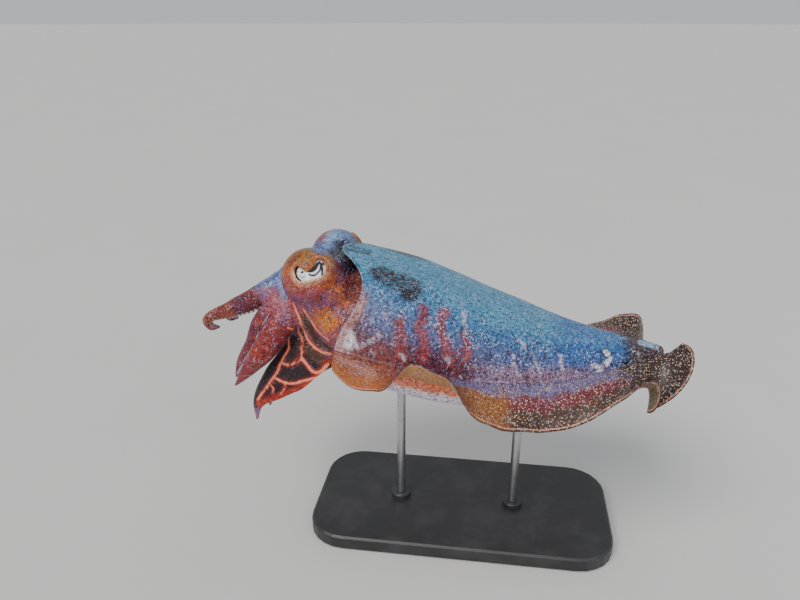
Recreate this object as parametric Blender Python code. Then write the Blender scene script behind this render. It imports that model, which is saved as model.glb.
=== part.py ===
"""A common cuttlefish, life size, swimming level with its arms lowered in display, on a flat stand with two rods.

Metres, +Z up. The animal faces -X, its left side is -Y, and the middle of the stand's underside is the origin.
"""

import math
import random

import bmesh
import bpy
from mathutils import Matrix, Vector

# Sizes that drive the rest
GAP = 0.0003
MANTLE_LENGTH = 0.226
MANTLE_FRONT = Vector((-0.088, 0.0, 0.170))
MANTLE_PITCH = math.radians(9.5)
TAIL_LIFT = 0.062
TAIL_LIFT_FROM = 0.35

# Mantle: share of its length, half width, back above the fin line, belly below it
MANTLE_STATIONS = (
    (0.00, 0.0570, 0.0585, 0.0300),
    (0.16, 0.0620, 0.0555, 0.0330),
    (0.30, 0.0625, 0.0490, 0.0345),
    (0.42, 0.0595, 0.0425, 0.0335),
    (0.55, 0.0530, 0.0350, 0.0310),
    (0.68, 0.0425, 0.0255, 0.0230),
    (0.82, 0.0280, 0.0165, 0.0150),
    (0.94, 0.0150, 0.0095, 0.0080),
    (1.00, 0.0060, 0.0056, 0.0050),
)
MANTLE_ROUNDNESS = 0.80
# The front margin, as a length behind the mantle's front plane, from the midline (0) to the fin line (1)
BACK_MARGIN = (
    (0.00, -0.0170),
    (0.09, -0.0130),
    (0.18, -0.0055),
    (0.30, 0.0022),
    (0.42, 0.0068),
    (0.55, 0.0078),
    (0.72, 0.0050),
    (0.86, 0.0000),
    (1.00, -0.0032),
)
BELLY_MARGIN = ((0.0, 0.014), (0.5, 0.007), (1.0, -0.0032))
MARGIN_FADE = 4
MANTLE_WALL = 0.0040
MANTLE_RINGS = 22
MANTLE_COLUMNS = 20
RECESS_DEPTH = 0.042

# Fins: share of the mantle's length, width, droop below level near the root and near the edge of the left fin, then
# of the right one, and sweep towards the tail
FIN_STATIONS = (
    (0.015, 0.0120, 78, 78, 78, 78, -20),
    (0.07, 0.0210, 74, 74, 74, 74, -8),
    (0.15, 0.0220, 46, 26, 46, 26, 0),
    (0.24, 0.0335, -50, -50, -50, -50, 0),
    (0.33, 0.0360, -44, -44, -44, -44, 2),
    (0.40, 0.0360, -4, -12, -4, -12, 3),
    (0.46, 0.0370, 20, 20, 20, 20, 4),
    (0.60, 0.0380, 42, 42, 42, 42, 6),
    (0.70, 0.0385, 50, 50, 44, 44, 8),
    (0.76, 0.0370, 36, 30, 20, 16, 12),
    (0.82, 0.0350, 24, 0, 4, -4, 16),
    (0.87, 0.0350, 34, -52, -16, -34, 20),
    (0.92, 0.0380, 46, -40, -8, -20, 20),
    (0.955, 0.0420, 70, 78, 24, 34, 20),
    (0.970, 0.0385, 54, 50, 54, 64, 27),
    (0.982, 0.0340, 16, 4, 60, 72, 36),
    (0.991, 0.0280, -24, -38, 62, 74, 45),
    (1.000, 0.0190, -54, -62, 58, 66, 58),
)
FIN_ROOT_HALF = 0.0024
FIN_EDGE_HALF = 0.0005
FIN_ROWS = 44
FIN_CROWDING = 1.5
FIN_COLUMNS = 5
RUFFLE = 0.0012
RUFFLES = 9
FIN_CUTS = (0.36, 0.76)

# Head: its frame starts between the eyes, with forward towards the arms, across to the right and up to the crown
HEAD_CENTRE = Vector((-0.1095, 0.0, 0.212))
HEAD_PITCH = math.radians(55)
HEAD_ROLL = math.radians(6.5)
SKULL_CENTRE = (0.014, 0.0, -0.016)
SKULL_HALF = (0.033, 0.036, 0.031)
CHEEK_CENTRE = (0.008, 0.018, -0.008)
CHEEK_HALF = (0.028, 0.019, 0.026)
CROWN_CENTRE = (0.024, 0.0, 0.001)
CROWN_HALF = (0.020, 0.022, 0.027)
NECK_HALF_WIDTH = 0.044
NECK_HALF_HEIGHT = 0.0325
NECK_RISE = 0.0125
NECK_LENGTH = 0.072
NECK_SHAPE = ((0.0, 1.0), (0.35, 1.04), (0.7, 1.0), (0.9, 0.8), (1.0, 0.5))
ROUND_SIDES = 26
SKULL_BANDS = 13
CHEEK_SIDES = 14
CHEEK_BANDS = 7
POLE = math.radians(12)

# Eyes, in the head's frame: the bulge, the ball in it, the way it looks and the rim of the lids
EYE_CENTRE = (-0.002, 0.031, 0.001)
EYE_BULGE = 0.0212
EYE_BALL = 0.0142
EYE_OUT = 0.0058
EYE_LOOK = (-0.47, 0.88, 0.11)
BALL_DEPTH = 0.0045
EYE_SIDES = 20
EYE_BANDS = 7
# The opening between the lids, as lengths towards the tail and up from the middle of the eye
LID_OPENING = (
    (-0.0110, -0.0007),
    (-0.0069, -0.0069),
    (0.0007, -0.0082),
    (0.0082, -0.0055),
    (0.0110, 0.0007),
    (0.0080, 0.0070),
    (0.0045, 0.0048),
    (0.0017, 0.0007),
    (-0.0041, -0.0007),
    (-0.0075, 0.0024),
)
LID_RIM = 0.0009
LID_STEPS = 3
RIM_SIDES = 5

# Arms of one side in the head's frame, the dorsal pair first: the line that each follows, from inside the head
ARM_LINES = (
    ((22, 9, 16), (36, 12, 23), (52, 13, 29), (63, 14, 35), (74, 15, 42), (83, 16, 48), (90, 15, 50), (93, 14, 45),
     (89, 14, 40)),
    ((24, 12, 10), (38, 21, 13), (56, 22, 13), (81, 21, 8), (96, 19, 8), (114, 16, 6)),
    ((21, 16, -3), (32, 26, -1), (50, 31, -1), (70, 32, -2), (85, 31, -1), (113, 27, 1)),
    ((22, 8, -18), (38, 12, -18), (59, 15, -19), (75, 17, -19), (90, 18, -18), (105, 18, -18), (122, 16, -20),
     (136, 13, -27)),
)
MILLIMETRE = 0.001
# Share of the arm, half width away from the keel, half width on the keel's side, half thickness outside
ARM_WIDTHS = (
    ((0.0, 9.0, 9.0, 9.0), (0.2, 9.0, 9.0, 9.2), (0.37, 8.6, 8.6, 9.0), (0.51, 7.6, 7.6, 7.8), (0.65, 6.1, 6.1, 6.1),
     (0.78, 4.6, 4.6, 4.5), (0.93, 3.3, 3.3, 3.2), (1.0, 1.5, 1.5, 1.4)),
    ((0.0, 8.0, 8.0, 7.4), (0.2, 7.4, 7.4, 7.0), (0.37, 7.4, 7.4, 7.0), (0.65, 7.0, 7.0, 6.4), (0.8, 5.4, 5.4, 4.9),
     (0.93, 2.9, 2.9, 2.6), (1.0, 0.9, 0.9, 0.8)),
    ((0.0, 8.2, 8.2, 8.0), (0.16, 9.4, 9.4, 8.2), (0.35, 10.3, 10.3, 8.2), (0.56, 9.0, 9.0, 7.4), (0.71, 6.7, 6.7, 5.8),
     (0.85, 4.3, 4.3, 3.8), (1.0, 0.9, 0.9, 0.8)),
    ((0.0, 8.0, 12.0, 7.0), (0.14, 9.4, 26.0, 6.4), (0.28, 9.5, 29.0, 5.8), (0.42, 9.4, 26.0, 5.1),
     (0.56, 8.6, 22.0, 4.4), (0.71, 6.5, 14.5, 3.8), (0.86, 3.6, 5.6, 2.6), (1.0, 0.9, 1.0, 0.8)),
)
# The way the suckered face of each arm looks, across and up, how flat it is, and the arm's cuts as shares of it
ARM_FACES = ((-0.45, -0.90), (-0.90, -0.45), (-1.0, 0.10), (-1.0, -0.12))
ARM_FLATNESS = (0.68, 0.60, 0.50, 0.45)
ARM_CUTS = ((0.24, 0.48, 0.74), (0.23, 0.50, 0.75), (0.24, 0.48, 0.74), (0.22, 0.46, 0.72))
RIGHT_ARM_DROOP = (0.003, 0.002, 0.0, 0.0)
ARM_SIDES = 10
ARM_RINGS = 6
STUB_RINGS = 4
KEEL_THIN = 0.72

# Suckers in two rows: where they start and end, how many on an arm, their radius at the root and at the tip, how far
# each row stands from the middle, how far a sucker keeps from a cut, its widest share of the arm, its sunk, raised
# and dished depths as shares of its radius
SUCKER_START = 0.26
SUCKER_END = 0.975
SUCKERS_ON_ARM = 11
SUCKER_CROWDING = 1.2
SUCKER_ROOT_RADIUS = 0.0023
SUCKER_TIP_RADIUS = 0.0006
SUCKER_ACROSS = 0.42
SUCKER_CLEAR = 0.024
SUCKER_SIDES = 5
SUCKER_WIDEST = 0.33
SUCKER_SUNK = 1.0
SUCKER_RAISED = 0.8
SUCKER_DISH = 0.3
SUCKER_VARIES = 0.1
SUCKER_SEED = 11

# Funnel under the head and the membrane round the mouth
FUNNEL_START = Vector((-0.095, -0.004, 0.150))
FUNNEL_LINE = Vector((-0.76, -0.04, -0.65))
FUNNEL_SUNK = 0.014
FUNNEL_COLLAR = 0.006
FUNNEL_LENGTH = 0.020
FUNNEL_ROOT = 0.0095
FUNNEL_END = 0.0062
FUNNEL_WALL = 0.0020
MOUTH_PLACE = (0.050, 0.0, 0.003)
MOUTH_RADIUS = 0.0088
MOUTH_LENGTH = 0.0100
MOUTH_END = 0.0040

# Stand
BASE_LENGTH = 0.240
BASE_WIDTH = 0.120
BASE_THICKNESS = 0.012
BASE_CORNER = 0.030
BASE_BEVEL = 0.0015
CORNER_STEPS = 6
ROD_RADIUS = 0.0035
ROD_GAP = 0.0004
ROD_SHARES = (0.16, 0.60)
COLLAR_RADIUS = 0.0080
COLLAR_HEIGHT = 0.0040


def along(stations, s):
    """The values at s of a smooth line through stations, each a share followed by its values."""
    last = len(stations) - 1
    i = next((k for k in range(last) if s <= stations[k + 1][0]), last - 1)
    left, right = stations[i], stations[i + 1]
    span = right[0] - left[0]
    t = min(max((s - left[0]) / span, 0.0), 1.0)
    before, after = stations[max(i - 1, 0)], stations[min(i + 2, last)]
    found = []
    for a, b, c, d in zip(before[1:], left[1:], right[1:], after[1:]):
        slope_in = (c - a) / (right[0] - before[0]) * span
        slope_out = (d - b) / (after[0] - left[0]) * span
        if (c - b) * (b - a) <= 0 and i > 0:
            slope_in = 0.0
        if (d - c) * (c - b) <= 0 and i < last - 1:
            slope_out = 0.0
        found.append(
            b * (2 * t**3 - 3 * t**2 + 1)
            + slope_in * (t**3 - 2 * t**2 + t)
            + c * (3 * t**2 - 2 * t**3)
            + slope_out * (t**3 - t**2)
        )
    return found


def smooth_step(t):
    t = min(max(t, 0.0), 1.0)
    return t * t * (3 - 2 * t)


def spread(start, end, count):
    """count + 1 even values from start to end."""
    return [start + (end - start) * k / count for k in range(count + 1)]


def body_point(x, y, z):
    """A point of the mantle's own frame, x back along it, placed in the model."""
    lift = max(0.0, x / MANTLE_LENGTH - TAIL_LIFT_FROM)
    raised = Vector((x, y, z + TAIL_LIFT * lift**2))
    return MANTLE_FRONT + Matrix.Rotation(MANTLE_PITCH, 3, "Y") @ raised


def body_turn(direction):
    return Matrix.Rotation(MANTLE_PITCH, 3, "Y") @ Vector(direction)


def mantle_section(s):
    return along(MANTLE_STATIONS, s)


def mantle_point(s, across, side, inset=0.0):
    """A point of the back (side 1) or belly (side -1), across from the left fin line (-1) to the right one (1)."""
    half_width, back, belly = mantle_section(s)
    height = back if side > 0 else belly
    angle = across * math.pi / 2
    y = math.copysign(abs(math.sin(angle)) ** MANTLE_ROUNDNESS, across) * (half_width - inset)
    rise = max(math.cos(angle), 0.0) ** MANTLE_ROUNDNESS * (height - FIN_ROOT_HALF - inset)
    margin = along(BACK_MARGIN if side > 0 else BELLY_MARGIN, abs(across))[0]
    x = MANTLE_LENGTH * s + margin * (1 - s) ** MARGIN_FADE
    return x, y, side * (FIN_ROOT_HALF + rise)


def mantle_shares():
    """Shares of the mantle's length at its rings, closer together towards the tail."""
    return [1 - (1 - k / MANTLE_RINGS) ** 1.25 for k in range(MANTLE_RINGS + 1)]


def mantle_row(s, side):
    return [body_point(*mantle_point(s, q, side)) for q in spread(-1, 1, MANTLE_COLUMNS)]


def recess_rows(side):
    """Rows from the flat wall behind the neck out to the lip of the mantle's opening."""
    rows = []
    for depth, inset in ((RECESS_DEPTH, 0.012), (RECESS_DEPTH, 0.0075), (0.020, MANTLE_WALL), (0.002, 0.0026)):
        row = []
        for q in spread(-1, 1, MANTLE_COLUMNS):
            lip_x, y, z = mantle_point(0.0, q, side, inset)
            x = depth if depth == RECESS_DEPTH else lip_x + (RECESS_DEPTH - lip_x) * depth / RECESS_DEPTH
            row.append(body_point(x, y, z))
        rows.append(row)
    return rows


def triangles_of_grid(rows, flip):
    """The two triangles of each cell of a grid of vertices, cut alike wherever the grid is used."""
    made = []
    for near, far in zip(rows, rows[1:]):
        for a, b, c, d in zip(near, far, far[1:], near[1:]):
            pair = ((a, b, c), (a, c, d))
            made += [tuple(reversed(t)) for t in pair] if flip else list(pair)
    return made


def new_object(name, mesh, finish):
    mesh.materials.append(finish)
    made = bpy.data.objects.new(name, mesh)
    bpy.context.scene.collection.objects.link(made)
    return made


def mesh_from(name, points, faces):
    mesh = bpy.data.meshes.new(name)
    mesh.from_pydata([tuple(p) for p in points], [], faces)
    shell = bmesh.new()
    shell.from_mesh(mesh)
    bmesh.ops.recalc_face_normals(shell, faces=shell.faces)
    shell.to_mesh(mesh)
    shell.free()
    mesh.shade_smooth()
    mesh.set_sharp_from_angle(angle=math.radians(40))
    return mesh


def slab(name, top, bottom, finish):
    """A closed shell between two grids of points of one shape, both cut into triangles alike."""
    high, wide = len(top), len(top[0])
    points = [p for row in top for p in row] + [p for row in bottom for p in row]
    upper = [[i * wide + j for j in range(wide)] for i in range(high)]
    lower = [[high * wide + k for k in row] for row in upper]
    faces = triangles_of_grid(upper, False) + triangles_of_grid(lower, True)
    for a, b in ((upper[0], lower[0]), (lower[-1], upper[-1])):
        faces += triangles_of_grid([b, a], False)
    for j, flip in ((0, False), (-1, True)):
        faces += triangles_of_grid([[row[j] for row in upper], [row[j] for row in lower]], flip)
    return new_object(name, mesh_from(name, points, faces), finish)


def tube(rings):
    """(points, faces) of a closed tube through rings of points, with one flat face at each end."""
    count = len(rings[0])
    points = [p for ring in rings for p in ring]
    faces = [tuple(range(count)), tuple(range(len(points) - count, len(points)))]
    for i in range(len(rings) - 1):
        for k in range(count):
            a, b = i * count + k, i * count + (k + 1) % count
            faces += [(a, b, b + count), (a, b + count, a + count)]
    return points, faces


def make_tube(name, rings, finish):
    points, faces = tube(rings)
    return new_object(name, mesh_from(name, points, faces), finish)


def circle(sides):
    return [(math.cos(2 * math.pi * k / sides), math.sin(2 * math.pi * k / sides)) for k in range(sides)]


def make_mantle(finish):
    shares = mantle_shares()
    top = recess_rows(1) + [mantle_row(s, 1) for s in shares]
    bottom = recess_rows(-1) + [mantle_row(s, -1) for s in shares]
    return slab("mantle", top, bottom, finish)


def fin_section(s, side, margin=0.0):
    """(middle points, up directions, half thicknesses) of the fin's section at s, from its root out."""
    width, *droops, sweep = along(FIN_STATIONS, s)
    inner, outer = droops[:2] if side < 0 else droops[2:]
    half_width = mantle_section(s)[0]
    root_x = mantle_point(s, 1.0, 1)[0]
    outward = Vector((math.sin(math.radians(sweep)), side * math.cos(math.radians(sweep)), 0.0))
    place = Vector((root_x, side * half_width, 0.0)) + outward * margin
    step = width / FIN_COLUMNS
    points, ups, halves = [], [], []
    for j in range(FIN_COLUMNS + 1):
        t = j / FIN_COLUMNS
        bend = smooth_step((t - 0.3) / 0.6)
        angle = math.radians(inner * (1 - (1 - t) ** 3) * (1 - bend) + outer * bend)
        up = outward * math.sin(angle) + Vector((0, 0, 1)) * math.cos(angle)
        ruffle = RUFFLE * t**2 * math.sin(2 * math.pi * RUFFLES * s)
        points.append(body_point(*(place + up * ruffle)))
        ups.append(body_turn(up))
        halves.append(FIN_EDGE_HALF + (FIN_ROOT_HALF - FIN_EDGE_HALF) * (1 - t) ** 1.4)
        place = place + (outward * math.cos(angle) - Vector((0, 0, 1)) * math.sin(angle)) * step
    return points, ups, halves


def make_fin(name, side, start, end, finish):
    """One length of a fin, a slab whose root face follows the mantle's edge face at a small gap."""
    first = FIN_STATIONS[0][0]
    shares = [1 - (1 - first) * (1 - k / FIN_ROWS) ** FIN_CROWDING for k in range(FIN_ROWS + 1)]
    inside = [s for s in shares if start < s < end]
    top, bottom = [], []
    for s in [start, *inside, end]:
        points, ups, halves = fin_section(s, side, GAP)
        top.append([p + u * h for p, u, h in zip(points, ups, halves)])
        bottom.append([p - u * h for p, u, h in zip(points, ups, halves)])
    return slab(name, top, bottom, finish)


def head_frame():
    """The head's forward, across and up directions in the model."""
    forward = Vector((-math.cos(HEAD_PITCH), 0.0, -math.sin(HEAD_PITCH)))
    across = Vector((0.0, 1.0, 0.0))
    up = Vector((-math.sin(HEAD_PITCH), 0.0, math.cos(HEAD_PITCH)))
    roll = Matrix.Rotation(HEAD_ROLL, 3, forward)
    return forward, roll @ across, roll @ up


def head_turn(direction):
    forward, across, up = head_frame()
    return forward * direction[0] + across * direction[1] + up * direction[2]


def head_point(place):
    return HEAD_CENTRE + head_turn(place)


def ball_rings(centre, radii, turn, sides, bands):
    """Rings of an ellipsoid whose first axis runs through its two small flat ends."""
    rings = []
    for tall in spread(POLE, math.pi - POLE, bands):
        wide = math.sin(tall)
        own = [(radii[0] * math.cos(tall), radii[1] * wide * c, radii[2] * wide * d) for c, d in circle(sides)]
        rings.append([centre + turn(o) for o in own])
    return rings


def axes_from(look):
    """A turn whose first axis is look, with the second level towards the tail and the third up."""
    first = look.normalized()
    second = Vector((0.0, 0.0, 1.0)).cross(first).normalized()
    if second.x < 0:
        second = -second
    third = first.cross(second)
    if third.z < 0:
        third = -third
    return lambda own: first * own[0] + second * own[1] + third * own[2]


def eye_frame(side):
    """The middle of the bulge, the middle of the ball and the turn of one eye."""
    look = head_turn((EYE_LOOK[0], side * EYE_LOOK[1], EYE_LOOK[2]))
    turn = axes_from(look)
    bulge = head_point((EYE_CENTRE[0], side * EYE_CENTRE[1], EYE_CENTRE[2]))
    return bulge, bulge + turn((EYE_OUT, 0, 0)), turn


def eyeball_rings(side, extra):
    """Rings of the eyeball's front, from its flat back forwards, grown by extra all round."""
    middle, turn = eye_frame(side)[1:]
    radius = EYE_BALL + extra
    back = BALL_DEPTH + extra
    rings = []
    for tall in spread(math.acos(-back / radius), POLE, EYE_BANDS):
        deep, wide = radius * math.cos(tall), radius * math.sin(tall)
        rings.append([middle + turn((deep, wide * c, wide * d)) for c, d in circle(EYE_SIDES)])
    return rings


def smooth_loop(points, steps):
    """A closed smooth line through points, with steps new points for each given one."""
    count = len(points)
    line = []
    for i in range(count):
        a, b, c, d = (Vector(points[(i + k - 1) % count]) for k in range(4))
        for j in range(steps):
            t = j / steps
            line.append(
                b * (1 - 2.5 * t**2 + 1.5 * t**3)
                + c * (0.5 * t + 2 * t**2 - 1.5 * t**3)
                + a * (-0.5 * t + t**2 - 0.5 * t**3)
                + d * (-0.5 * t**2 + 0.5 * t**3)
            )
    return line


def arm_frames(number, side):
    """(place, along, suckered face) down one arm at even shares, the face carried along without twist."""
    forward, across, up = head_frame()
    line = [Vector((f, side * s, u)) * MILLIMETRE for f, s, u in ARM_LINES[number]]
    if side > 0:
        drop = Vector((0.0, 0.0, RIGHT_ARM_DROOP[number])) / (len(line) - 1)
        line = [place - drop * k for k, place in enumerate(line)]
    lengths = [0.0]
    for a, b in zip(line, line[1:]):
        lengths.append(lengths[-1] + (b - a).length)
    stations = [(length / lengths[-1], *p) for length, p in zip(lengths, line)]
    steps = 80
    places = [Vector(along(stations, s)) for s in spread(0.0, 1.0, steps)]
    face = Vector((0.0, side * ARM_FACES[number][0], ARM_FACES[number][1]))
    frames = []
    for i, place in enumerate(places):
        ahead = (places[min(i + 1, steps)] - places[max(i - 1, 0)]).normalized()
        face = (face - ahead * face.dot(ahead)).normalized()
        frames.append((place, ahead, face))
    return frames


def arm_section(number, side, share):
    """The arm's place, direction, suckered face and keel direction at a share of its length, in the head's frame."""
    frames = arm_frames(number, side)
    exact = share * (len(frames) - 1)
    i = min(int(exact), len(frames) - 2)
    t = exact - i
    place, ahead, face = (a.lerp(b, t) for a, b in zip(frames[i], frames[i + 1]))
    return place, ahead, face, ahead.cross(face).normalized() * side


def arm_ring(number, side, share):
    """A ring of points round the arm, rounded outside and flatter on the suckered face."""
    place, ahead, face, keel = arm_section(number, side, share)
    plain, keeled, half = (v * MILLIMETRE for v in along(ARM_WIDTHS[number], share))
    ring = []
    for k in range(ARM_SIDES):
        angle = 2 * math.pi * (k + 0.5) / ARM_SIDES
        wide, deep = math.cos(angle), math.sin(angle)
        reach = keeled if wide > 0 else plain
        thin = 1 - KEEL_THIN * max(wide, 0.0) ** 1.5 * max(0.0, 1 - plain / keeled)
        depth = deep * half * thin * (ARM_FLATNESS[number] if deep > 0 else 1.0)
        ring.append(head_point(place + keel * reach * wide + face * depth))
    return ring


def sucker_shares(number):
    """Shares of the arm at which its suckers stand, closer together towards the tip, kept off the cuts."""
    shares = []
    for k in range(SUCKERS_ON_ARM):
        grown = 1 - (1 - (k + 0.5) / SUCKERS_ON_ARM) ** SUCKER_CROWDING
        share = SUCKER_START + (SUCKER_END - SUCKER_START) * grown
        for cut in ARM_CUTS[number]:
            if abs(share - cut) < SUCKER_CLEAR:
                share = cut + math.copysign(SUCKER_CLEAR, share - cut)
        shares.append(share)
    return shares


def make_sucker(number, side, share, row, varied, finish):
    """One sucker, a short cup with a dished face, its root sunk into the arm."""
    place, ahead, face, keel = arm_section(number, side, share)
    plain, _, half = (v * MILLIMETRE for v in along(ARM_WIDTHS[number], share))
    radius = SUCKER_ROOT_RADIUS + (SUCKER_TIP_RADIUS - SUCKER_ROOT_RADIUS) * share
    radius = min(radius, plain * SUCKER_WIDEST) * varied
    depth = half * ARM_FLATNESS[number] * math.sqrt(1 - SUCKER_ACROSS**2)
    foot = head_point(place + keel * row * plain * SUCKER_ACROSS + face * depth)
    out, aside, on = (head_turn(way) for way in (face, keel, ahead))
    points = []
    for wide, high in ((0.75, -SUCKER_SUNK), (1.0, SUCKER_RAISED)):
        points += [foot + (out * high + (aside * c + on * d) * wide) * radius for c, d in circle(SUCKER_SIDES)]
    points.append(foot + out * SUCKER_DISH * radius)
    faces = [tuple(range(SUCKER_SIDES))]
    for k in range(SUCKER_SIDES):
        a, b = k, (k + 1) % SUCKER_SIDES
        faces += [(a, b, b + SUCKER_SIDES, a + SUCKER_SIDES), (a + SUCKER_SIDES, b + SUCKER_SIDES, 2 * SUCKER_SIDES)]
    return new_object("sucker", mesh_from("sucker", points, faces), finish)


def make_arm(number, side, finish):
    word = "left" if side < 0 else "right"
    length = sum(
        (b[0] - a[0]).length for a, b in zip(arm_frames(number, side), arm_frames(number, side)[1:])
    )
    cuts = (*ARM_CUTS[number], 1.0)
    draw = random.Random(SUCKER_SEED + number)
    for start, end, part in zip(cuts, cuts[1:], ("root", "middle", "tip")):
        shares = spread(start + GAP / length, end, ARM_RINGS)
        rings = [arm_ring(number, side, s) for s in shares]
        arm = make_tube(f"arm_{word}_{number + 1}_{part}", rings, finish)
        suckers = []
        for k, share in enumerate(sucker_shares(number)):
            if start < share < end:
                varied = 1 + SUCKER_VARIES * draw.uniform(-1, 1)
                suckers.append(make_sucker(number, side, share, 1 if k % 2 else -1, varied, finish))
        fuse(arm, suckers)


def neck_rings():
    """Rings of the neck, from its flat end in the mantle out to the head."""
    rings = []
    for share, wide in NECK_SHAPE:
        x = RECESS_DEPTH - GAP - NECK_LENGTH * share
        y, z = NECK_HALF_WIDTH * wide, NECK_HALF_HEIGHT * wide
        rings.append([body_point(x, y * c, NECK_RISE + z * d) for c, d in circle(ROUND_SIDES)])
    return rings


def fuse(base, pieces, operation="UNION"):
    """Joins pieces to base, or cuts them from it, in one step, and keeps the result's largest closed surface."""
    group = bpy.data.collections.new("pieces_of_" + base.name)
    for piece in pieces:
        group.objects.link(piece)
    modifier = base.modifiers.new("fuse", "BOOLEAN")
    modifier.operation = operation
    modifier.operand_type = "COLLECTION"
    modifier.collection = group
    modifier.solver = "EXACT"
    with bpy.context.temp_override(object=base, active_object=base):
        bpy.ops.object.modifier_apply(modifier=modifier.name)
    for piece in pieces:
        bpy.data.objects.remove(piece)
    bpy.data.collections.remove(group)
    keep_largest(base.data)


def keep_largest(mesh):
    shell = bmesh.new()
    shell.from_mesh(mesh)
    bmesh.ops.remove_doubles(shell, verts=shell.verts, dist=1e-6)
    bmesh.ops.triangulate(shell, faces=shell.faces)
    left = set(shell.verts)
    groups = []
    while left:
        group = set()
        front = [left.pop()]
        while front:
            vertex = front.pop()
            group.add(vertex)
            near = [edge.other_vert(vertex) for edge in vertex.link_edges]
            fresh = [v for v in near if v in left]
            left.difference_update(fresh)
            front += fresh
        groups.append(group)
    groups.sort(key=len)
    for group in groups[:-1]:
        bmesh.ops.delete(shell, geom=list(group), context="VERTS")
    shell.to_mesh(mesh)
    shell.free()
    mesh.shade_smooth()
    mesh.set_sharp_from_angle(angle=math.radians(40))


def opening_line(side, reach):
    """The lids' opening as a loop at a distance in front of the middle of the bulge, or on it where reach is None."""
    bulge, _, turn = eye_frame(side)
    line = []
    for b, c in smooth_loop(LID_OPENING, LID_STEPS):
        deep = math.sqrt(EYE_BULGE**2 - b**2 - c**2) if reach is None else reach
        line.append(bulge + turn((deep, b, c)))
    return line


def lid_rim(side, finish):
    """A thin closed roll along the edge of the lids."""
    bulge = eye_frame(side)[0]
    line = opening_line(side, None)
    count = len(line)
    points, faces = [], []
    for i, place in enumerate(line):
        ahead = (line[(i + 1) % count] - line[i - 1]).normalized()
        out = (place - bulge).normalized()
        aside = ahead.cross(out).normalized()
        points += [place + (out * c + aside * d) * LID_RIM for c, d in circle(RIM_SIDES)]
    for i in range(count):
        for k in range(RIM_SIDES):
            a, b = i * RIM_SIDES + k, i * RIM_SIDES + (k + 1) % RIM_SIDES
            c, d = (i + 1) % count * RIM_SIDES + (k + 1) % RIM_SIDES, (i + 1) % count * RIM_SIDES + k
            faces += [(a, b, c), (a, c, d)]
    return new_object("lid_rim", mesh_from("lid_rim", points, faces), finish)


def round_bar(start, end, radius, sides):
    """Two rings of a straight round bar square to its length."""
    turn = axes_from(end - start)
    return [[p + turn((0, c * radius, d * radius)) for c, d in circle(sides)] for p in (start, end)]


def make_head(finish):
    head_ball = ball_rings(head_point(SKULL_CENTRE), SKULL_HALF, head_turn, ROUND_SIDES, SKULL_BANDS)
    head = make_tube("head", head_ball, finish)
    crown = ball_rings(head_point(CROWN_CENTRE), CROWN_HALF, head_turn, ROUND_SIDES - 8, SKULL_BANDS - 4)
    mouth = head_point(MOUTH_PLACE)
    mouth_root = head_point((CROWN_CENTRE[0], *MOUTH_PLACE[1:]))
    pieces = [
        make_tube("crown", crown, finish),
        make_tube("neck", neck_rings(), finish),
        make_tube("mouth_collar", round_bar(mouth_root, mouth, MOUTH_RADIUS, EYE_SIDES), finish),
        make_tube("funnel_collar", funnel_rings(-FUNNEL_SUNK, FUNNEL_COLLAR, False), finish),
    ]
    cutters = []
    for side in (-1, 1):
        bulge, middle, turn = eye_frame(side)
        radii = (EYE_BULGE,) * 3
        pieces.append(make_tube("bulge", ball_rings(bulge, radii, turn, ROUND_SIDES, SKULL_BANDS), finish))
        cheek_place = head_point((CHEEK_CENTRE[0], side * CHEEK_CENTRE[1], CHEEK_CENTRE[2]))
        cheek = ball_rings(cheek_place, CHEEK_HALF, head_turn, CHEEK_SIDES, CHEEK_BANDS)
        pieces.append(make_tube("cheek", cheek, finish))
        pieces.append(lid_rim(side, finish))
        for number in range(len(ARM_LINES)):
            shares = spread(0.0, ARM_CUTS[number][0], STUB_RINGS)
            pieces.append(make_tube("stub", [arm_ring(number, side, s) for s in shares], finish))
        cutters.append(make_tube("socket", eyeball_rings(side, GAP), finish))
        inner, outer = opening_line(side, EYE_OUT), opening_line(side, EYE_BULGE + LID_RIM)
        cutters.append(make_tube("opening", [shrunk(outer, LID_RIM * 0.6), shrunk(inner, LID_RIM * 0.6)], finish))
    fuse(head, pieces)
    fuse(head, cutters, "DIFFERENCE")
    return head


def shrunk(line, depth):
    """A closed line moved inwards by a depth, square to itself."""
    middle = sum(line, Vector()) / len(line)
    normal = (line[0] - middle).cross(line[len(line) // 4] - middle).normalized()
    moved = []
    for i, place in enumerate(line):
        ahead = (line[(i + 1) % len(line)] - line[i - 1]).normalized()
        aside = normal.cross(ahead)
        moved.append(place + aside * depth)
    return moved


def funnel_rings(start, end, hollow):
    """Rings of the funnel between two lengths along it, and back inside where it is hollow."""
    line = FUNNEL_LINE.normalized()
    turn = axes_from(line)
    rings = []
    for length in (start, end):
        share = max(length, 0.0) / (FUNNEL_COLLAR + FUNNEL_LENGTH)
        radius = FUNNEL_ROOT + (FUNNEL_END - FUNNEL_ROOT) * share
        rings.append([FUNNEL_START + turn((length, c * radius, d * radius)) for c, d in circle(EYE_SIDES)])
    if hollow:
        for length in (end, start + FUNNEL_LENGTH * 0.35):
            share = length / (FUNNEL_COLLAR + FUNNEL_LENGTH)
            radius = FUNNEL_ROOT + (FUNNEL_END - FUNNEL_ROOT) * share - FUNNEL_WALL
            rings.append([FUNNEL_START + turn((length, c * radius, d * radius)) for c, d in circle(EYE_SIDES)])
    return rings


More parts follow.
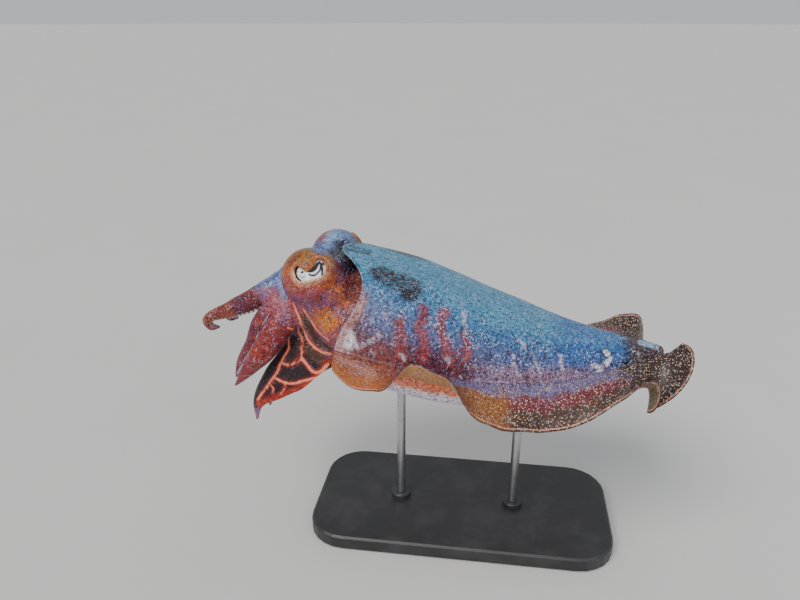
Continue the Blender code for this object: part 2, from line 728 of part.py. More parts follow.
def make_mouth(finish):
    start = head_point(MOUTH_PLACE) + head_turn((GAP, 0, 0))
    rings = []
    for share, radius in ((0.0, MOUTH_RADIUS), (0.6, MOUTH_RADIUS * 0.8), (1.0, MOUTH_END)):
        place = start + head_turn((MOUTH_LENGTH * share, 0, 0))
        rings.append([place + head_turn((0, c * radius, d * radius)) for c, d in circle(EYE_SIDES)])
    make_tube("buccal_membrane", rings, finish)


def base_outline(inset):
    """A rectangle with rounded corners, drawn in from the base's full size by inset."""
    radius = BASE_CORNER - inset
    line = []
    for quarter in range(4):
        across = (1, -1, -1, 1)[quarter] * (BASE_LENGTH / 2 - BASE_CORNER)
        deep = (1, 1, -1, -1)[quarter] * (BASE_WIDTH / 2 - BASE_CORNER)
        for k in range(CORNER_STEPS + 1):
            angle = (quarter + k / CORNER_STEPS) * math.pi / 2
            line.append((across + radius * math.cos(angle), deep + radius * math.sin(angle)))
    return line


def rod_foot(share):
    """Where the rod under the belly at a share of the mantle stands, its height there and the belly's slope."""
    low = body_point(*mantle_point(share, 0.0, -1))
    ahead = body_point(*mantle_point(share + 0.01, 0.0, -1)) - low
    return low, ahead.z / ahead.x


def make_stand(base_finish, rod_finish):
    bevel = BASE_BEVEL
    levels = ((0.0, bevel), (bevel, 0.0), (BASE_THICKNESS - bevel, 0.0), (BASE_THICKNESS, bevel))
    rings = [[Vector((x, y, z)) for x, y in base_outline(inset)] for z, inset in levels]
    base = make_tube("stand_base", rings, base_finish)
    collars = []
    foot = BASE_THICKNESS + COLLAR_HEIGHT
    for share, word in zip(ROD_SHARES, ("front", "rear")):
        low, slope = rod_foot(share)
        heights = ((BASE_THICKNESS / 2, COLLAR_RADIUS), (foot - bevel / 2, COLLAR_RADIUS), (foot, COLLAR_RADIUS - bevel / 2))
        rings = [[Vector((low.x + c * r, d * r, z)) for c, d in circle(ROUND_SIDES)] for z, r in heights]
        collars.append(make_tube("collar", rings, base_finish))
        bottom = [Vector((low.x + c * ROD_RADIUS, d * ROD_RADIUS, foot + GAP)) for c, d in circle(EYE_SIDES)]
        top = [Vector((p.x, p.y, low.z + slope * (p.x - low.x) - ROD_GAP)) for p in bottom]
        make_tube(f"stand_rod_{word}", [bottom, top], rod_finish)
    fuse(base, collars)


def finish_of(name, colour, roughness, metallic=0.0):
    material = bpy.data.materials.new(name)
    material.use_nodes = True
    shader = material.node_tree.nodes["Principled BSDF"]
    shader.inputs["Base Color"].default_value = (*colour, 1.0)
    shader.inputs["Roughness"].default_value = roughness
    shader.inputs["Metallic"].default_value = metallic
    return material


def main():
    for old in list(bpy.data.objects):
        bpy.data.objects.remove(old)
    back = finish_of("mantle_skin", (0.16, 0.24, 0.42), 0.5)
    fin = finish_of("fin_skin", (0.32, 0.15, 0.08), 0.45)
    red = finish_of("head_skin", (0.36, 0.11, 0.05), 0.5)
    eye = finish_of("eye_white", (0.75, 0.78, 0.80), 0.15)
    funnel_skin = finish_of("funnel_skin", (0.55, 0.42, 0.36), 0.5)
    black = finish_of("base_black", (0.03, 0.03, 0.03), 0.4)
    steel = finish_of("rod_steel", (0.60, 0.60, 0.60), 0.3, 1.0)
    make_mantle(back)
    cuts = (FIN_STATIONS[0][0], *FIN_CUTS, 1.0)
    for side, word in ((-1, "left"), (1, "right")):
        for start, end, length in zip(cuts, cuts[1:], ("front", "middle", "rear")):
            first = start if start == cuts[0] else start + GAP / MANTLE_LENGTH
            make_fin(f"fin_{word}_{length}", side, first, end, fin)
        for number in range(len(ARM_LINES)):
            make_arm(number, side, red)
        make_tube(f"eye_{word}", eyeball_rings(side, 0.0), eye)
    make_head(red)
    make_tube("funnel", funnel_rings(FUNNEL_COLLAR + GAP, FUNNEL_COLLAR + FUNNEL_LENGTH, True), funnel_skin)
    make_mouth(funnel_skin)
    make_stand(black, steel)


main()
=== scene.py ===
"""A common cuttlefish in display: one skin over its solids, suckers, eyes and lids, on a plain stand."""
import math

import bmesh
import bpy
import numpy as np
from mathutils import Matrix, Vector, kdtree, noise


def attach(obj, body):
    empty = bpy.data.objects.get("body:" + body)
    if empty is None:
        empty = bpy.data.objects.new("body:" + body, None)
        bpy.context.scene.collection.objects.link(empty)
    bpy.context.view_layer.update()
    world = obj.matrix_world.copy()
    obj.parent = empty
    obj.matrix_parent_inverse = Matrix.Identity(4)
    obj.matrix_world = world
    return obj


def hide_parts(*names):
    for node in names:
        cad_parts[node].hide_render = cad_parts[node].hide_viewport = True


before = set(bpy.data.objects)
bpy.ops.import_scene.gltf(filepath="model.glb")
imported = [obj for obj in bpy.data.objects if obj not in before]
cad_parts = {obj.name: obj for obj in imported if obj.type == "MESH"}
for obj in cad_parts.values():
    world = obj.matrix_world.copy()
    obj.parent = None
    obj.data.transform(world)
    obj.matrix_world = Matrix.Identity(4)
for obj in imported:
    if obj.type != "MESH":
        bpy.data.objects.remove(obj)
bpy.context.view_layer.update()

# The frame of the mantle: its front, the way it pitches and how its tail lifts
MANTLE_LENGTH = 0.226
MANTLE_FRONT = Vector((-0.088, 0.0, 0.170))
MANTLE_TURN = Matrix.Rotation(math.radians(9.5), 3, "Y")
TAIL_LIFT = 0.062
TAIL_LIFT_FROM = 0.35
RECESS_DEPTH = 0.042
# The recess from its floor to the lip: depth, and how far in from the mantle's outside
RECESS_STEPS = (
    (RECESS_DEPTH, 0.012),
    (RECESS_DEPTH, 0.0075),
    (0.030, 0.0055),
    (0.020, 0.0040),
    (0.010, 0.0034),
    (0.004, 0.0028),
    (0.0012, 0.0019),
    (0.0002, 0.0008),
)
MANTLE_ROUNDNESS = 0.80
MARGIN_FADE = 4
# Share of the mantle's length, half width, back above the fin line, belly below it
MANTLE_STATIONS = (
    (0.00, 0.0570, 0.0585, 0.0300),
    (0.16, 0.0620, 0.0555, 0.0330),
    (0.30, 0.0625, 0.0490, 0.0345),
    (0.42, 0.0595, 0.0425, 0.0335),
    (0.55, 0.0530, 0.0350, 0.0310),
    (0.68, 0.0425, 0.0255, 0.0230),
    (0.82, 0.0280, 0.0165, 0.0150),
    (0.94, 0.0150, 0.0095, 0.0080),
    (1.00, 0.0060, 0.0056, 0.0050),
)
BACK_MARGIN = (
    (0.00, -0.0170),
    (0.09, -0.0130),
    (0.18, -0.0055),
    (0.30, 0.0022),
    (0.42, 0.0068),
    (0.55, 0.0078),
    (0.72, 0.0050),
    (0.86, 0.0000),
    (1.00, -0.0032),
)
BELLY_MARGIN = ((0.0, 0.014), (0.5, 0.007), (1.0, -0.0032))

# Fins: share of the mantle, width, droop near the root and the edge of the left fin, then the right, sweep
FIN_STATIONS = (
    (0.015, 0.0120, 78, 78, 78, 78, -20),
    (0.07, 0.0210, 74, 74, 74, 74, -8),
    (0.15, 0.0220, 46, 26, 46, 26, 0),
    (0.24, 0.0335, -50, -50, -50, -50, 0),
    (0.33, 0.0360, -44, -44, -44, -44, 2),
    (0.40, 0.0360, -4, -12, -4, -12, 3),
    (0.46, 0.0370, 20, 20, 20, 20, 4),
    (0.60, 0.0380, 42, 42, 42, 42, 6),
    (0.70, 0.0385, 50, 50, 44, 44, 8),
    (0.76, 0.0370, 36, 30, 20, 16, 12),
    (0.82, 0.0350, 24, 0, 4, -4, 16),
    (0.87, 0.0350, 34, -52, -16, -34, 20),
    (0.92, 0.0380, 46, -40, -8, -20, 20),
    (0.955, 0.0420, 70, 78, 24, 34, 20),
    (0.970, 0.0385, 54, 50, 54, 64, 27),
    (0.982, 0.0340, 16, 4, 60, 72, 36),
    (0.991, 0.0280, -24, -38, 62, 74, 45),
    (1.000, 0.0190, -54, -62, 58, 66, 58),
)
FIN_ROOT_HALF = 0.0024
FIN_EDGE_HALF = 0.0005
RUFFLE = 0.0012
RUFFLES = 9

# Head: forward towards the arms, across to the right, up to the crown
HEAD_CENTRE = Vector((-0.1095, 0.0, 0.212))
HEAD_PITCH = math.radians(55)
HEAD_ROLL = math.radians(6.5)
SKULL = ((0.014, 0.0, -0.016), (0.033, 0.036, 0.031))
CROWN = ((0.024, 0.0, 0.001), (0.020, 0.022, 0.027))
NAPE = ((-0.018, 0.0, -0.014), (0.008, 0.018, 0.010))
CHEEK = ((0.008, 0.018, -0.008), (0.028, 0.019, 0.026))
UNDER_EYE = ((0.004, 0.027, -0.013), (0.022, 0.0175, 0.019))
NECK_HALF_WIDTH = 0.044
NECK_HALF_HEIGHT = 0.0325
NECK_RISE = 0.0125
NECK_LENGTH = 0.072
NECK_SHAPE = ((0.0, 1.0), (0.35, 1.04), (0.7, 1.0), (0.9, 0.8), (1.0, 0.5))
FUNNEL_START = Vector((-0.095, -0.004, 0.150))
FUNNEL_LINE = Vector((-0.76, -0.04, -0.65))
FUNNEL_SHAPE = (
    (-0.014, 0.0095), (0.006, 0.0090), (0.018, 0.0074), (0.0255, 0.0064), (0.026, 0.0058), (0.0255, 0.0046),
    (0.012, 0.0060), (0.010, 0.0030),
)
MOUTH_SHAPE = (
    (-0.030, 0.0088), (0.000, 0.0088), (0.006, 0.0074), (0.0090, 0.0060), (0.0100, 0.0040), (0.0090, 0.0020),
)
MOUTH_PLACE = (0.050, 0.0, 0.003)

# Eyes: the bulge and the ball, the way they look, and the lids' opening towards the tail and up
EYE_CENTRE = (-0.002, 0.031, 0.001)
EYE_BULGE = 0.0212
EYE_BALL = 0.0165
EYE_OUT = 0.0036
EYE_ASIDE = 0.0018
EYE_LOOK = (-0.47, 0.88, 0.11)
BALL_DEPTH = 0.0040
LID_OPENING = (
    (-0.0090, -0.0004),
    (-0.0073, -0.0052),
    (-0.0024, -0.0076),
    (0.0052, -0.0060),
    (0.0106, -0.0032),
    (0.0136, 0.0010),
    (0.0134, 0.0060),
    (0.0110, 0.0094),
    (0.0076, 0.0102),
    (0.0056, 0.0082),
    (0.0044, 0.0046),
    (0.0022, 0.0018),
    (-0.0008, 0.0012),
    (-0.0036, 0.0030),
    (-0.0060, 0.0048),
    (-0.0082, 0.0036),
)
LID_RIM = 0.0009
SOCKET_GAP = 0.00015
OPENING_REACH = 0.004

# Arms of one side in the head's frame, in millimetres, the pair nearest the crown first
ARM_LINES = (
    ((22, 9, 16), (36, 12, 23), (52, 13, 29), (63, 14, 35), (74, 15, 42), (83, 16, 48), (90, 15, 50),
     (93, 14, 45), (89, 14, 40)),
    ((24, 12, 10), (38, 21, 13), (56, 22, 13), (81, 21, 8), (96, 19, 8), (114, 16, 6)),
    ((21, 16, -3), (32, 26, -1), (50, 31, -1), (70, 32, -2), (85, 31, -1), (113, 27, 1)),
    ((22, 8, -18), (38, 12, -18), (59, 15, -19), (75, 17, -19), (90, 18, -18), (105, 18, -18), (122, 16, -20),
     (136, 13, -27)),
)
# Share of the arm, half widths on its plain and keeled sides and half thickness, in millimetres
ARM_WIDTHS = (
    ((0.0, 9.0, 9.0, 9.0), (0.2, 9.0, 9.0, 9.2), (0.37, 8.6, 8.6, 9.0), (0.51, 7.6, 7.6, 7.8),
     (0.65, 6.1, 6.1, 6.1), (0.78, 4.6, 4.6, 4.5), (0.93, 3.3, 3.3, 3.2), (1.0, 1.5, 1.5, 1.4)),
    ((0.0, 8.0, 8.0, 7.4), (0.2, 7.4, 7.4, 7.0), (0.37, 7.4, 7.4, 7.0), (0.65, 7.0, 7.0, 6.4),
     (0.8, 5.4, 5.4, 4.9), (0.93, 2.9, 2.9, 2.6), (1.0, 0.9, 0.9, 0.8)),
    ((0.0, 8.2, 8.2, 8.0), (0.16, 9.4, 9.4, 8.2), (0.35, 10.3, 10.3, 8.2), (0.56, 9.0, 9.0, 7.4),
     (0.71, 6.7, 6.7, 5.8), (0.85, 4.3, 4.3, 3.8), (1.0, 0.9, 0.9, 0.8)),
    ((0.0, 8.0, 12.0, 7.0), (0.14, 9.4, 26.0, 6.4), (0.28, 9.5, 29.0, 5.8), (0.42, 9.4, 26.0, 5.1),
     (0.56, 8.6, 22.0, 4.4), (0.71, 6.5, 14.5, 3.8), (0.86, 3.6, 5.6, 2.6), (1.0, 0.9, 1.0, 0.8)),
)
ARM_FACES = ((-0.45, -0.90), (-0.90, -0.45), (-1.0, 0.10), (-1.0, -0.12))
ARM_FLATNESS = (0.68, 0.60, 0.50, 0.45)
RIGHT_ARM_DROOP = (3.0, 2.0, 0.0, 0.0)
KEEL_THIN = 0.72
ARM_START = 0.10
ARM_ROOT_INSET = -0.0016
ARM_TIP = ((0.45, 0.86), (0.8, 0.55), (0.95, 0.25))
ARM_TIP_LENGTH = 0.0009
STUB_END = 0.27
STUB_SIDES = 40
MM = 0.001
TO_MM = 1000

# Suckers: where they start on the arm, radius at root and tip, a cup's profile as width and height, how much
# painted shade each ring of the cup gets, deepest inside, where they end, and how they are set in rows
SUCKER_START = 0.27
SUCKER_ROOT = 0.0021
SUCKER_TIP = 0.0006
SUCKER_SIDES = 10
SUCKER_SHAPE = ((0.55, -0.9), (0.62, 0.2), (1.0, 0.55), (1.0, 0.85), (0.82, 0.92), (0.55, 0.55), (0.2, 0.5))
SUCKER_SHADE_DEPTHS = (0.3, 0.2, 0.05, 0.0, 0.2, 0.8, 1.0)
SUCKER_END = 0.985
SUCKER_ROWS = ((-0.23, 0.69), (-0.69, 0.23))
SUCKER_WIDEST = 0.24
SUCKER_SPACING = 1.25
SUCKER_SEED = 17
SIDE_WORDS = {-1: "left", 1: "right"}

# Markings of the head and arms, with painted light and shade among them, as lines in the head's frame in
# millimetres, for both sides
LEAF_LINES = (
    (((17, -41, -9), (19, -40, -12), (23, -36, -17), (27, -33, -23), (28, -33, -27), (27, -36, -36)), 0.9),
    (((21, -35, 0), (23, -34, -2), (27, -33, -7), (31, -32, -11), (37, -26, -14), (44, -20, -20),
      (47, -20, -26), (48, -19, -34), (45, -18, -43)), 0.9),
    (((40, -35, -7), (41, -30, -10), (46, -18, -13), (48, -20, -18), (53, -20, -22), (61, -21, -27)), 0.8),
    (((61, -21, -27), (63, -21, -33), (65, -21, -40), (62, -20, -45), (53, -19, -46)), 1.1),
    (((57, -16, -10), (62, -20, -15), (70, -21, -16), (76, -22, -17), (86, -22, -19), (96, -22, -19),
      (108, -22, -19), (117, -20, -19)), 0.8),
    (((75, -22, -17), (73, -22, -22), (67, -22, -26), (61, -21, -27)), 0.9),
    (((89, -23, -21), (87, -23, -28), (83, -22, -34), (76, -21, -39), (71, -20, -43), (63, -19, -47),
      (54, -18, -47)), 1.0),
    (((96, -22, -19), (98, -22, -24), (102, -21, -25)), 0.5),
    (((87, -23, -28), (92, -22, -31), (99, -21, -31)), 0.4),
)
LEAF_DEPTH = (1.0, 0.3, 1.0)
OLIVE_CELLS = (
    ((25, -35, -14), (29, -32, -17), (37, -25, -24)),
    ((37, -25, -24), (41, -21, -31), (41, -20, -37)),
    ((45, -20, -16), (51, -20, -24), (53, -20, -33), (53, -19, -41)),
)
LEAF_MARGIN = ((118, -18, -26), (98, -20, -37), (81, -21, -46), (64, -19, -50), (50, -18, -50))
LEAF_TIP = (131, -15, -25)
ARM_BORDER = ((44, -29, 11), (56, -29, 10), (72, -28, 8), (88, -26, 7), (110, -19, 6))
ARM_COLOURS = ((124, 56, 54), (132, 60, 64), (148, 64, 62), (110, 52, 52))
ARM_RINGS = 34
# Painted highlights of bluish sheen on the top of the first arms' roots, and along a strip between the eye
# and them.
ARM_BLUE_SHEEN = ((22, -14, 24), (32, -14, 29))
BLUE_STRIP_HIGHLIGHT = ((22, -18, 20), (23, -25, 13), (25, -28, 6))
# A pale blue band of painted light from above on the top of the head behind the bulges.
CROWN_BAND_BLUE_LIGHT = ((-18, -25, 13), (-14, -14, 14), (-10, 0, 14))
# Painted shade in the hollows of the neck under the mantle's lip, behind the crown and the bulges.
HOLLOW_PAINTED_SHADE = ((-13, -9, -4), (-18, -8, -7), (-18, -14, -14), (-15, -18, -16))
CROWN_PAINTED_SHADE = ((-20, -14, 4), (-24, -18, -2))
RED_HOLLOW = ((-16, -22, -25), (-12, -30, -27), (0, -34, -32))
ORANGE_SPOTS = ((-11, -38, -20), (-8, -37, -24), (-5, -36, -30))
CHEEK_PATCH = (14, -40, -27)

# Markings of the mantle, and a painted highlight at the tail, in its own frame in millimetres
RUST_STREAKS = (
    ((38, -55, 33), (42, -60, 23), (43, -62, 11)),
    ((53, -45, 42), (53, -54, 33), (58, -59, 24), (59, -62, 13)),
    ((67, -42, 42), (66, -51, 35), (73, -58, 24), (77, -61, 14)),
    ((84, -52, 30), (88, -58, 19)),
)
DARK_BLOTCH = ((20, -29, 54), (33, -30, 52), (40, -34, 50))
DARK_SLIT = ((-12, -3, 58), (4, -2, 57))
PALE_BLOTCH = ((3, -57, 17), (8, -58, 10), (2, -57, 8))
PALE_MARKS = (
    ((5, -33, 36), (9, -42, 36)),
    ((10, -50, 37), (9, -53, 30)),
    ((28, -53, 36), (28, -55, 33)),
    ((20, -55, 30),),
    ((26, -59, 22), (27, -59, 19)),
    ((16, -60, 12), (20, -60, 14), (24, -59, 19)),
    ((25, -62, 11), (25, -61, 6)),
    ((44, -62, 13), (47, -62, 9)),
    ((75, -61, 17), (77, -61, 13)),
    ((37, -61, 18),),
    ((80, -37, 41), (84, -50, 32)),
    ((119, -49, 21), (121, -51, 15), (126, -52, 8)),
    ((132, -44, 21), (135, -46, 15), (140, -47, 9)),
    ((152, -36, 18), (155, -41, 10)),
    ((122, -39, 29), (126, -43, 25)),
)
STAR = (185, -29, 5)
STAR_RAYS = ((177, -33, -1), (176, -31, 8), (184, -34, -2), (192, -31, 0), (195, -26, 6), (189, -24, 10))
FIN_BASE_DROPS = (
    (87, -61, 4), (97, -61, 2), (103, -61, 4), (109, -62, 2), (117, -58, 2), (123, -57, 4), (129, -58, 1),
    (137, -54, 3), (144, -51, 2), (150, -49, 4), (155, -47, 2), (161, -45, 4), (167, -44, 1), (174, -40, 3),
)
TAIL_SPOT = ((186.0, -20.5, 13.5), (186.4, -21.6, 12.8))
# A painted highlight on the ridge at the mantle's tail tip.
TAIL_PAINTED_HIGHLIGHT = ((214, -2, 9), (224, -2, 7))
FIN_WIDTH_MM = 37.0

# On the eyeball, in millimetres towards the tail and up: the pupil's folds and thin grey lines with half
# widths, and the flushed rim; the first fold is also painted shadow under the drooping upper lid
PUPIL_LINES = (
    # The pupil's fold along the lid's edge, also painted shadow under the drooping upper lid.
    (((-3.4, -0.2), (-0.6, 0.5), (2.6, 0.3), (5.6, 1.8), (7.0, 5.0), (8.2, 7.4)), 0.85),
    (((4.2, 1.6), (6.0, 3.6), (7.2, 6.0)), 1.15),
    (((10.5, 7.2), (11.2, 5.8)), 0.55),
    (((2.0, -1.9), (4.0, -2.5), (6.0, -2.0), (8.0, 0.1), (9.3, 3.0), (9.2, 6.8)), 0.62),
    (((10.5, -1.8), (10.4, 1.8), (9.7, 6.0)), 0.75),
    (((-6.2, 4.4), (-8.0, 1.6), (-7.9, -1.8), (-6.4, -4.4), (-4.4, -6.2)), 0.85),
)
GREY_LINES = ((((-5.1, -2.2), (-2.9, -4.0), (-1.4, -3.0)), 0.3),)
FLUSHED_RIM = ((7.0, 10.0), (11.0, 9.0), (13.4, 5.0), (13.0, 1.0))

# Sizes of the skin's patches, lumps and grain in metres, and how strongly they vary
LUMP_SIZES = (0.016, 0.006, 0.0026)
LUMP_STRENGTH = 1.6

# How much deeper and stronger the skin's colours are than they look
COLOUR_DEPTH = 0.68
COLOUR_STRENGTH = 0.38

# How fine the skin is
MANTLE_ROWS = 150
MANTLE_COLUMNS = 92
FIN_COLUMNS = 24
ARM_STEP = 0.0014
HEAD_VOXEL = 0.00125
FILL_ROUNDS = 90
RELAX_ROUNDS = 6
BALL_RINGS = 24
BALL_SIDES = 48
EYE_RINGS = 60
EYE_SIDES = 144
LID_SIDES = 12
NO_LINE = 6.0

# The photo's camera, and the studio
CAMERA_PLACE = (0.017357, -0.494012, 0.391093)
CAMERA_LOOK = (-0.129039, 0.918161, -0.374607)
CAMERA_LENS = 32.0
CAMERA_SENSOR = 36.0
FLOOR_RADIUS = 30.0
WORLD_COLOUR = (0.80, 0.82, 0.85, 1.0)
WORLD_STRENGTH = 0.70


def along(stations, s):
    """The values at s of a smooth line through stations, each a share followed by its values."""
    last = len(stations) - 1
    i = next((k for k in range(last) if s <= stations[k + 1][0]), last - 1)
    left, right = stations[i], stations[i + 1]
    span = right[0] - left[0]
    t = min(max((s - left[0]) / span, 0.0), 1.0)
    before, after = stations[max(i - 1, 0)], stations[min(i + 2, last)]
    found = []
    for a, b, c, d in zip(before[1:], left[1:], right[1:], after[1:]):
        slope_in = (c - a) / (right[0] - before[0]) * span
        slope_out = (d - b) / (after[0] - left[0]) * span
        if (c - b) * (b - a) <= 0 and i > 0:
            slope_in = 0.0
        if (d - c) * (c - b) <= 0 and i < last - 1:
            slope_out = 0.0
        found.append(
            b * (2 * t**3 - 3 * t**2 + 1)
            + slope_in * (t**3 - 2 * t**2 + t)
            + c * (3 * t**2 - 2 * t**3)
            + slope_out * (t**3 - t**2)
        )
    return found


def smooth_step(t):
    t = min(max(t, 0.0), 1.0)
    return t * t * (3 - 2 * t)


def spread(start, end, count):
    return [start + (end - start) * k / count for k in range(count + 1)]


def circle(sides):
    return [(math.cos(2 * math.pi * k / sides), math.sin(2 * math.pi * k / sides)) for k in range(sides)]


def body_point(x, y, z):
    lift = max(0.0, x / MANTLE_LENGTH - TAIL_LIFT_FROM)
    return MANTLE_FRONT + MANTLE_TURN @ Vector((x, y, z + TAIL_LIFT * lift**2))


def mantle_row(s, side, across, inset=0.0):
    """Points of the back (side 1) or belly (side -1) at s, in the mantle's own frame."""
    half_width, back, belly = along(MANTLE_STATIONS, s)
    height = back if side > 0 else belly
    row = []
    for q in across:
        angle = q * math.pi / 2
        y = math.copysign(abs(math.sin(angle)) ** MANTLE_ROUNDNESS, q) * (half_width - inset)
        rise = max(math.cos(angle), 0.0) ** MANTLE_ROUNDNESS * (height - FIN_ROOT_HALF - inset)
        margin = along(BACK_MARGIN if side > 0 else BELLY_MARGIN, abs(q))[0]
        row.append((MANTLE_LENGTH * s + margin * (1 - s) ** MARGIN_FADE, y, side * (FIN_ROOT_HALF + rise)))
    return row


def fin_section(s, side, columns):
    """(middle points, up directions, half thicknesses) of the fin at s from its root out."""
    first = FIN_STATIONS[0][0]
    width, *droops, sweep = along(FIN_STATIONS, max(s, first))
    width *= min(1.0, 0.08 + 0.92 * s / first)
    inner, outer = droops[:2] if side < 0 else droops[2:]
    root = mantle_row(s, 1, [side])[0]
    outward = Vector((math.sin(math.radians(sweep)), side * math.cos(math.radians(sweep)), 0.0))
    place = Vector((root[0], root[1], 0.0))
    step = width / columns
    points, ups, halves = [], [], []
    for j in range(columns + 1):
        t = j / columns
        bend = smooth_step((t - 0.3) / 0.6)
        angle = math.radians(inner * (1 - (1 - t) ** 3) * (1 - bend) + outer * bend)
        up = outward * math.sin(angle) + Vector((0, 0, 1)) * math.cos(angle)
        points.append(place + up * RUFFLE * t**2 * math.sin(2 * math.pi * RUFFLES * s))
        ups.append(up)
        halves.append(FIN_EDGE_HALF + (FIN_ROOT_HALF - FIN_EDGE_HALF) * (1 - t) ** 1.4)
        place = place + (outward * math.cos(angle) - Vector((0, 0, 1)) * math.sin(angle)) * step
    return points, ups, halves


def mantle_sheets():
    """Top and bottom grids of points over the recess, the mantle and both fins, and where each lies."""
    across = [math.copysign(1 - (1 - abs(q)) ** 1.15, q) for q in spread(-1, 1, MANTLE_COLUMNS)]
    outs = spread(0, 1, FIN_COLUMNS)[1:]
    columns = [-1 - t for t in reversed(outs)] + across + [1 + t for t in outs]
    top, bottom, shares = [], [], []
    for depth, inset in RECESS_STEPS:
        for sheet, side in ((top, 1), (bottom, -1)):
            row = []
            for lip_x, y, z in mantle_row(0.0, side, across, inset):
                x = depth if depth == RECESS_DEPTH else lip_x + (RECESS_DEPTH - lip_x) * depth / RECESS_DEPTH
                row.append(body_point(x, y, z))
            sheet.append([row[0]] * FIN_COLUMNS + row + [row[-1]] * FIN_COLUMNS)
        shares.append(-depth)
    for k in range(MANTLE_ROWS + 1):
        s = 1 - (1 - k / MANTLE_ROWS) ** 1.3
        left, right = fin_section(s, -1, FIN_COLUMNS), fin_section(s, 1, FIN_COLUMNS)
        for sheet, side in ((top, 1), (bottom, -1)):
            row = [body_point(*(p + u * h * side)) for p, u, h in list(zip(*left))[:0:-1]]
            row += [body_point(*p) for p in mantle_row(s, side, across)]
            row += [body_point(*(p + u * h * side)) for p, u, h in list(zip(*right))[1:]]
            sheet.append(row)
        shares.append(s)
    return top, bottom, shares, columns


def new_object(name, data):
    made = bpy.data.objects.new(name, data)
    bpy.context.scene.collection.objects.link(made)
    return made


def new_piece(name, points, faces):
    mesh = bpy.data.meshes.new(name)
    mesh.from_pydata([tuple(p) for p in points], [], faces)
    return new_object(name, mesh)


def tidy_shell(piece):
    """Merges what lies on one point and turns the faces outwards."""
    shell = bmesh.new()
    shell.from_mesh(piece.data)
    bmesh.ops.remove_doubles(shell, verts=shell.verts, dist=2e-6)
    bmesh.ops.dissolve_degenerate(shell, edges=shell.edges, dist=1e-7)
    bmesh.ops.triangulate(shell, faces=shell.faces)
    bmesh.ops.recalc_face_normals(shell, faces=shell.faces)
    shell.to_mesh(piece.data)
    shell.free()


def tube(name, rings):
    """A closed tube through rings of points, closed by a fan round the middle of each end."""
    count = len(rings[0])
    points = [p for ring in rings for p in ring]
    points += [sum(ring, Vector()) / count for ring in (rings[0], rings[-1])]
    faces = []
    for i in range(len(rings) - 1):
        for k in range(count):
            a, b = i * count + k, i * count + (k + 1) % count
            faces.append((a, b, b + count, a + count))
    last = (len(rings) - 1) * count
    for k in range(count):
        faces.append((len(points) - 2, (k + 1) % count, k))
        faces.append((len(points) - 1, last + k, last + (k + 1) % count))
    made = new_piece(name, points, faces)
    tidy_shell(made)
    return made


def make_mantle_shell():
    """The mantle with its recess and both fins as one closed shell."""
    top, bottom, shares, columns = mantle_sheets()
    high, wide = len(top), len(columns)
    points = [p for row in top for p in row] + [p for row in bottom for p in row]
    size = high * wide
    faces = []
    for i in range(high - 1):
        for j in range(wide - 1):
            a = i * wide + j
            faces.append((a, a + 1, a + wide + 1, a + wide))
            faces.append((size + a + wide, size + a + wide + 1, size + a + 1, size + a))
    for j in range(wide - 1):
        faces.append((size + j, size + j + 1, j + 1, j))
        a = (high - 1) * wide + j
        faces.append((a, a + 1, size + a + 1, size + a))
    for i in range(high - 1):
        a, b = i * wide, i * wide + wide - 1
        faces.append((size + a, a, a + wide, size + a + wide))
        faces.append((b, size + b, size + b + wide, b + wide))
    made = new_piece("mantle_shell", points, faces)
    tidy_shell(made)
    places = np.array([tuple(p) for p in points])
    codes = [(side, s, q) for side in (1, -1) for s in shares for q in columns]
    return made, places, codes


def head_frame():
    forward = Vector((-math.cos(HEAD_PITCH), 0.0, -math.sin(HEAD_PITCH)))
    up = Vector((-math.sin(HEAD_PITCH), 0.0, math.cos(HEAD_PITCH)))
    roll = Matrix.Rotation(HEAD_ROLL, 3, forward)
    return Matrix((forward, roll @ Vector((0, 1, 0)), roll @ up)).transposed()


HEAD_AXES = head_frame()


def head_turn(direction):
    return HEAD_AXES @ Vector(direction)


def head_point(place):
    return HEAD_CENTRE + HEAD_AXES @ Vector(place)


def ball(name, centre, radii, turn):
    """An ellipsoid as a closed mesh."""
    rings = []
    for tall in spread(0.06, math.pi - 0.06, BALL_RINGS):
        deep, wide = radii[0] * math.cos(tall), math.sin(tall)
        own = [(deep, radii[1] * wide * c, radii[2] * wide * d) for c, d in circle(BALL_SIDES)]
        rings.append([centre + turn(o) for o in own])
    return tube(name, rings)


def axes_from(look):
    """A turn whose first axis is look, with the second level towards the tail and the third up."""
    first = look.normalized()
    second = Vector((0.0, 0.0, 1.0)).cross(first).normalized()
    if second.x < 0:
        second = -second
    third = first.cross(second)
    if third.z < 0:
        third = -third
    return lambda own: first * own[0] + second * own[1] + third * own[2]


def on_side(place, side):
    """A place or direction of the right side, mirrored to the left where side is -1."""
    return (place[0], side * place[1], place[2])


def eye_frame(side):
    turn = axes_from(head_turn(on_side(EYE_LOOK, side)))
    bulge = head_point(on_side(EYE_CENTRE, side))
    return bulge, bulge + turn((EYE_OUT, EYE_ASIDE, 0)), turn


def axes_table(turn):
    """The three axes of a turn as the columns of an array."""
    return np.array([tuple(turn(way)) for way in ((1, 0, 0), (0, 1, 0), (0, 0, 1))]).T


def smooth_loop(points, steps):
    count = len(points)
    line = []
    for i in range(count):
        a, b, c, d = (Vector(points[(i + k - 1) % count]) for k in range(4))
        for j in range(steps):
            t = j / steps
            line.append(
                b * (1 - 2.5 * t**2 + 1.5 * t**3)
                + c * (0.5 * t + 2 * t**2 - 1.5 * t**3)
                + a * (-0.5 * t + t**2 - 0.5 * t**3)
                + d * (-0.5 * t**2 + 0.5 * t**3)
            )
    return line


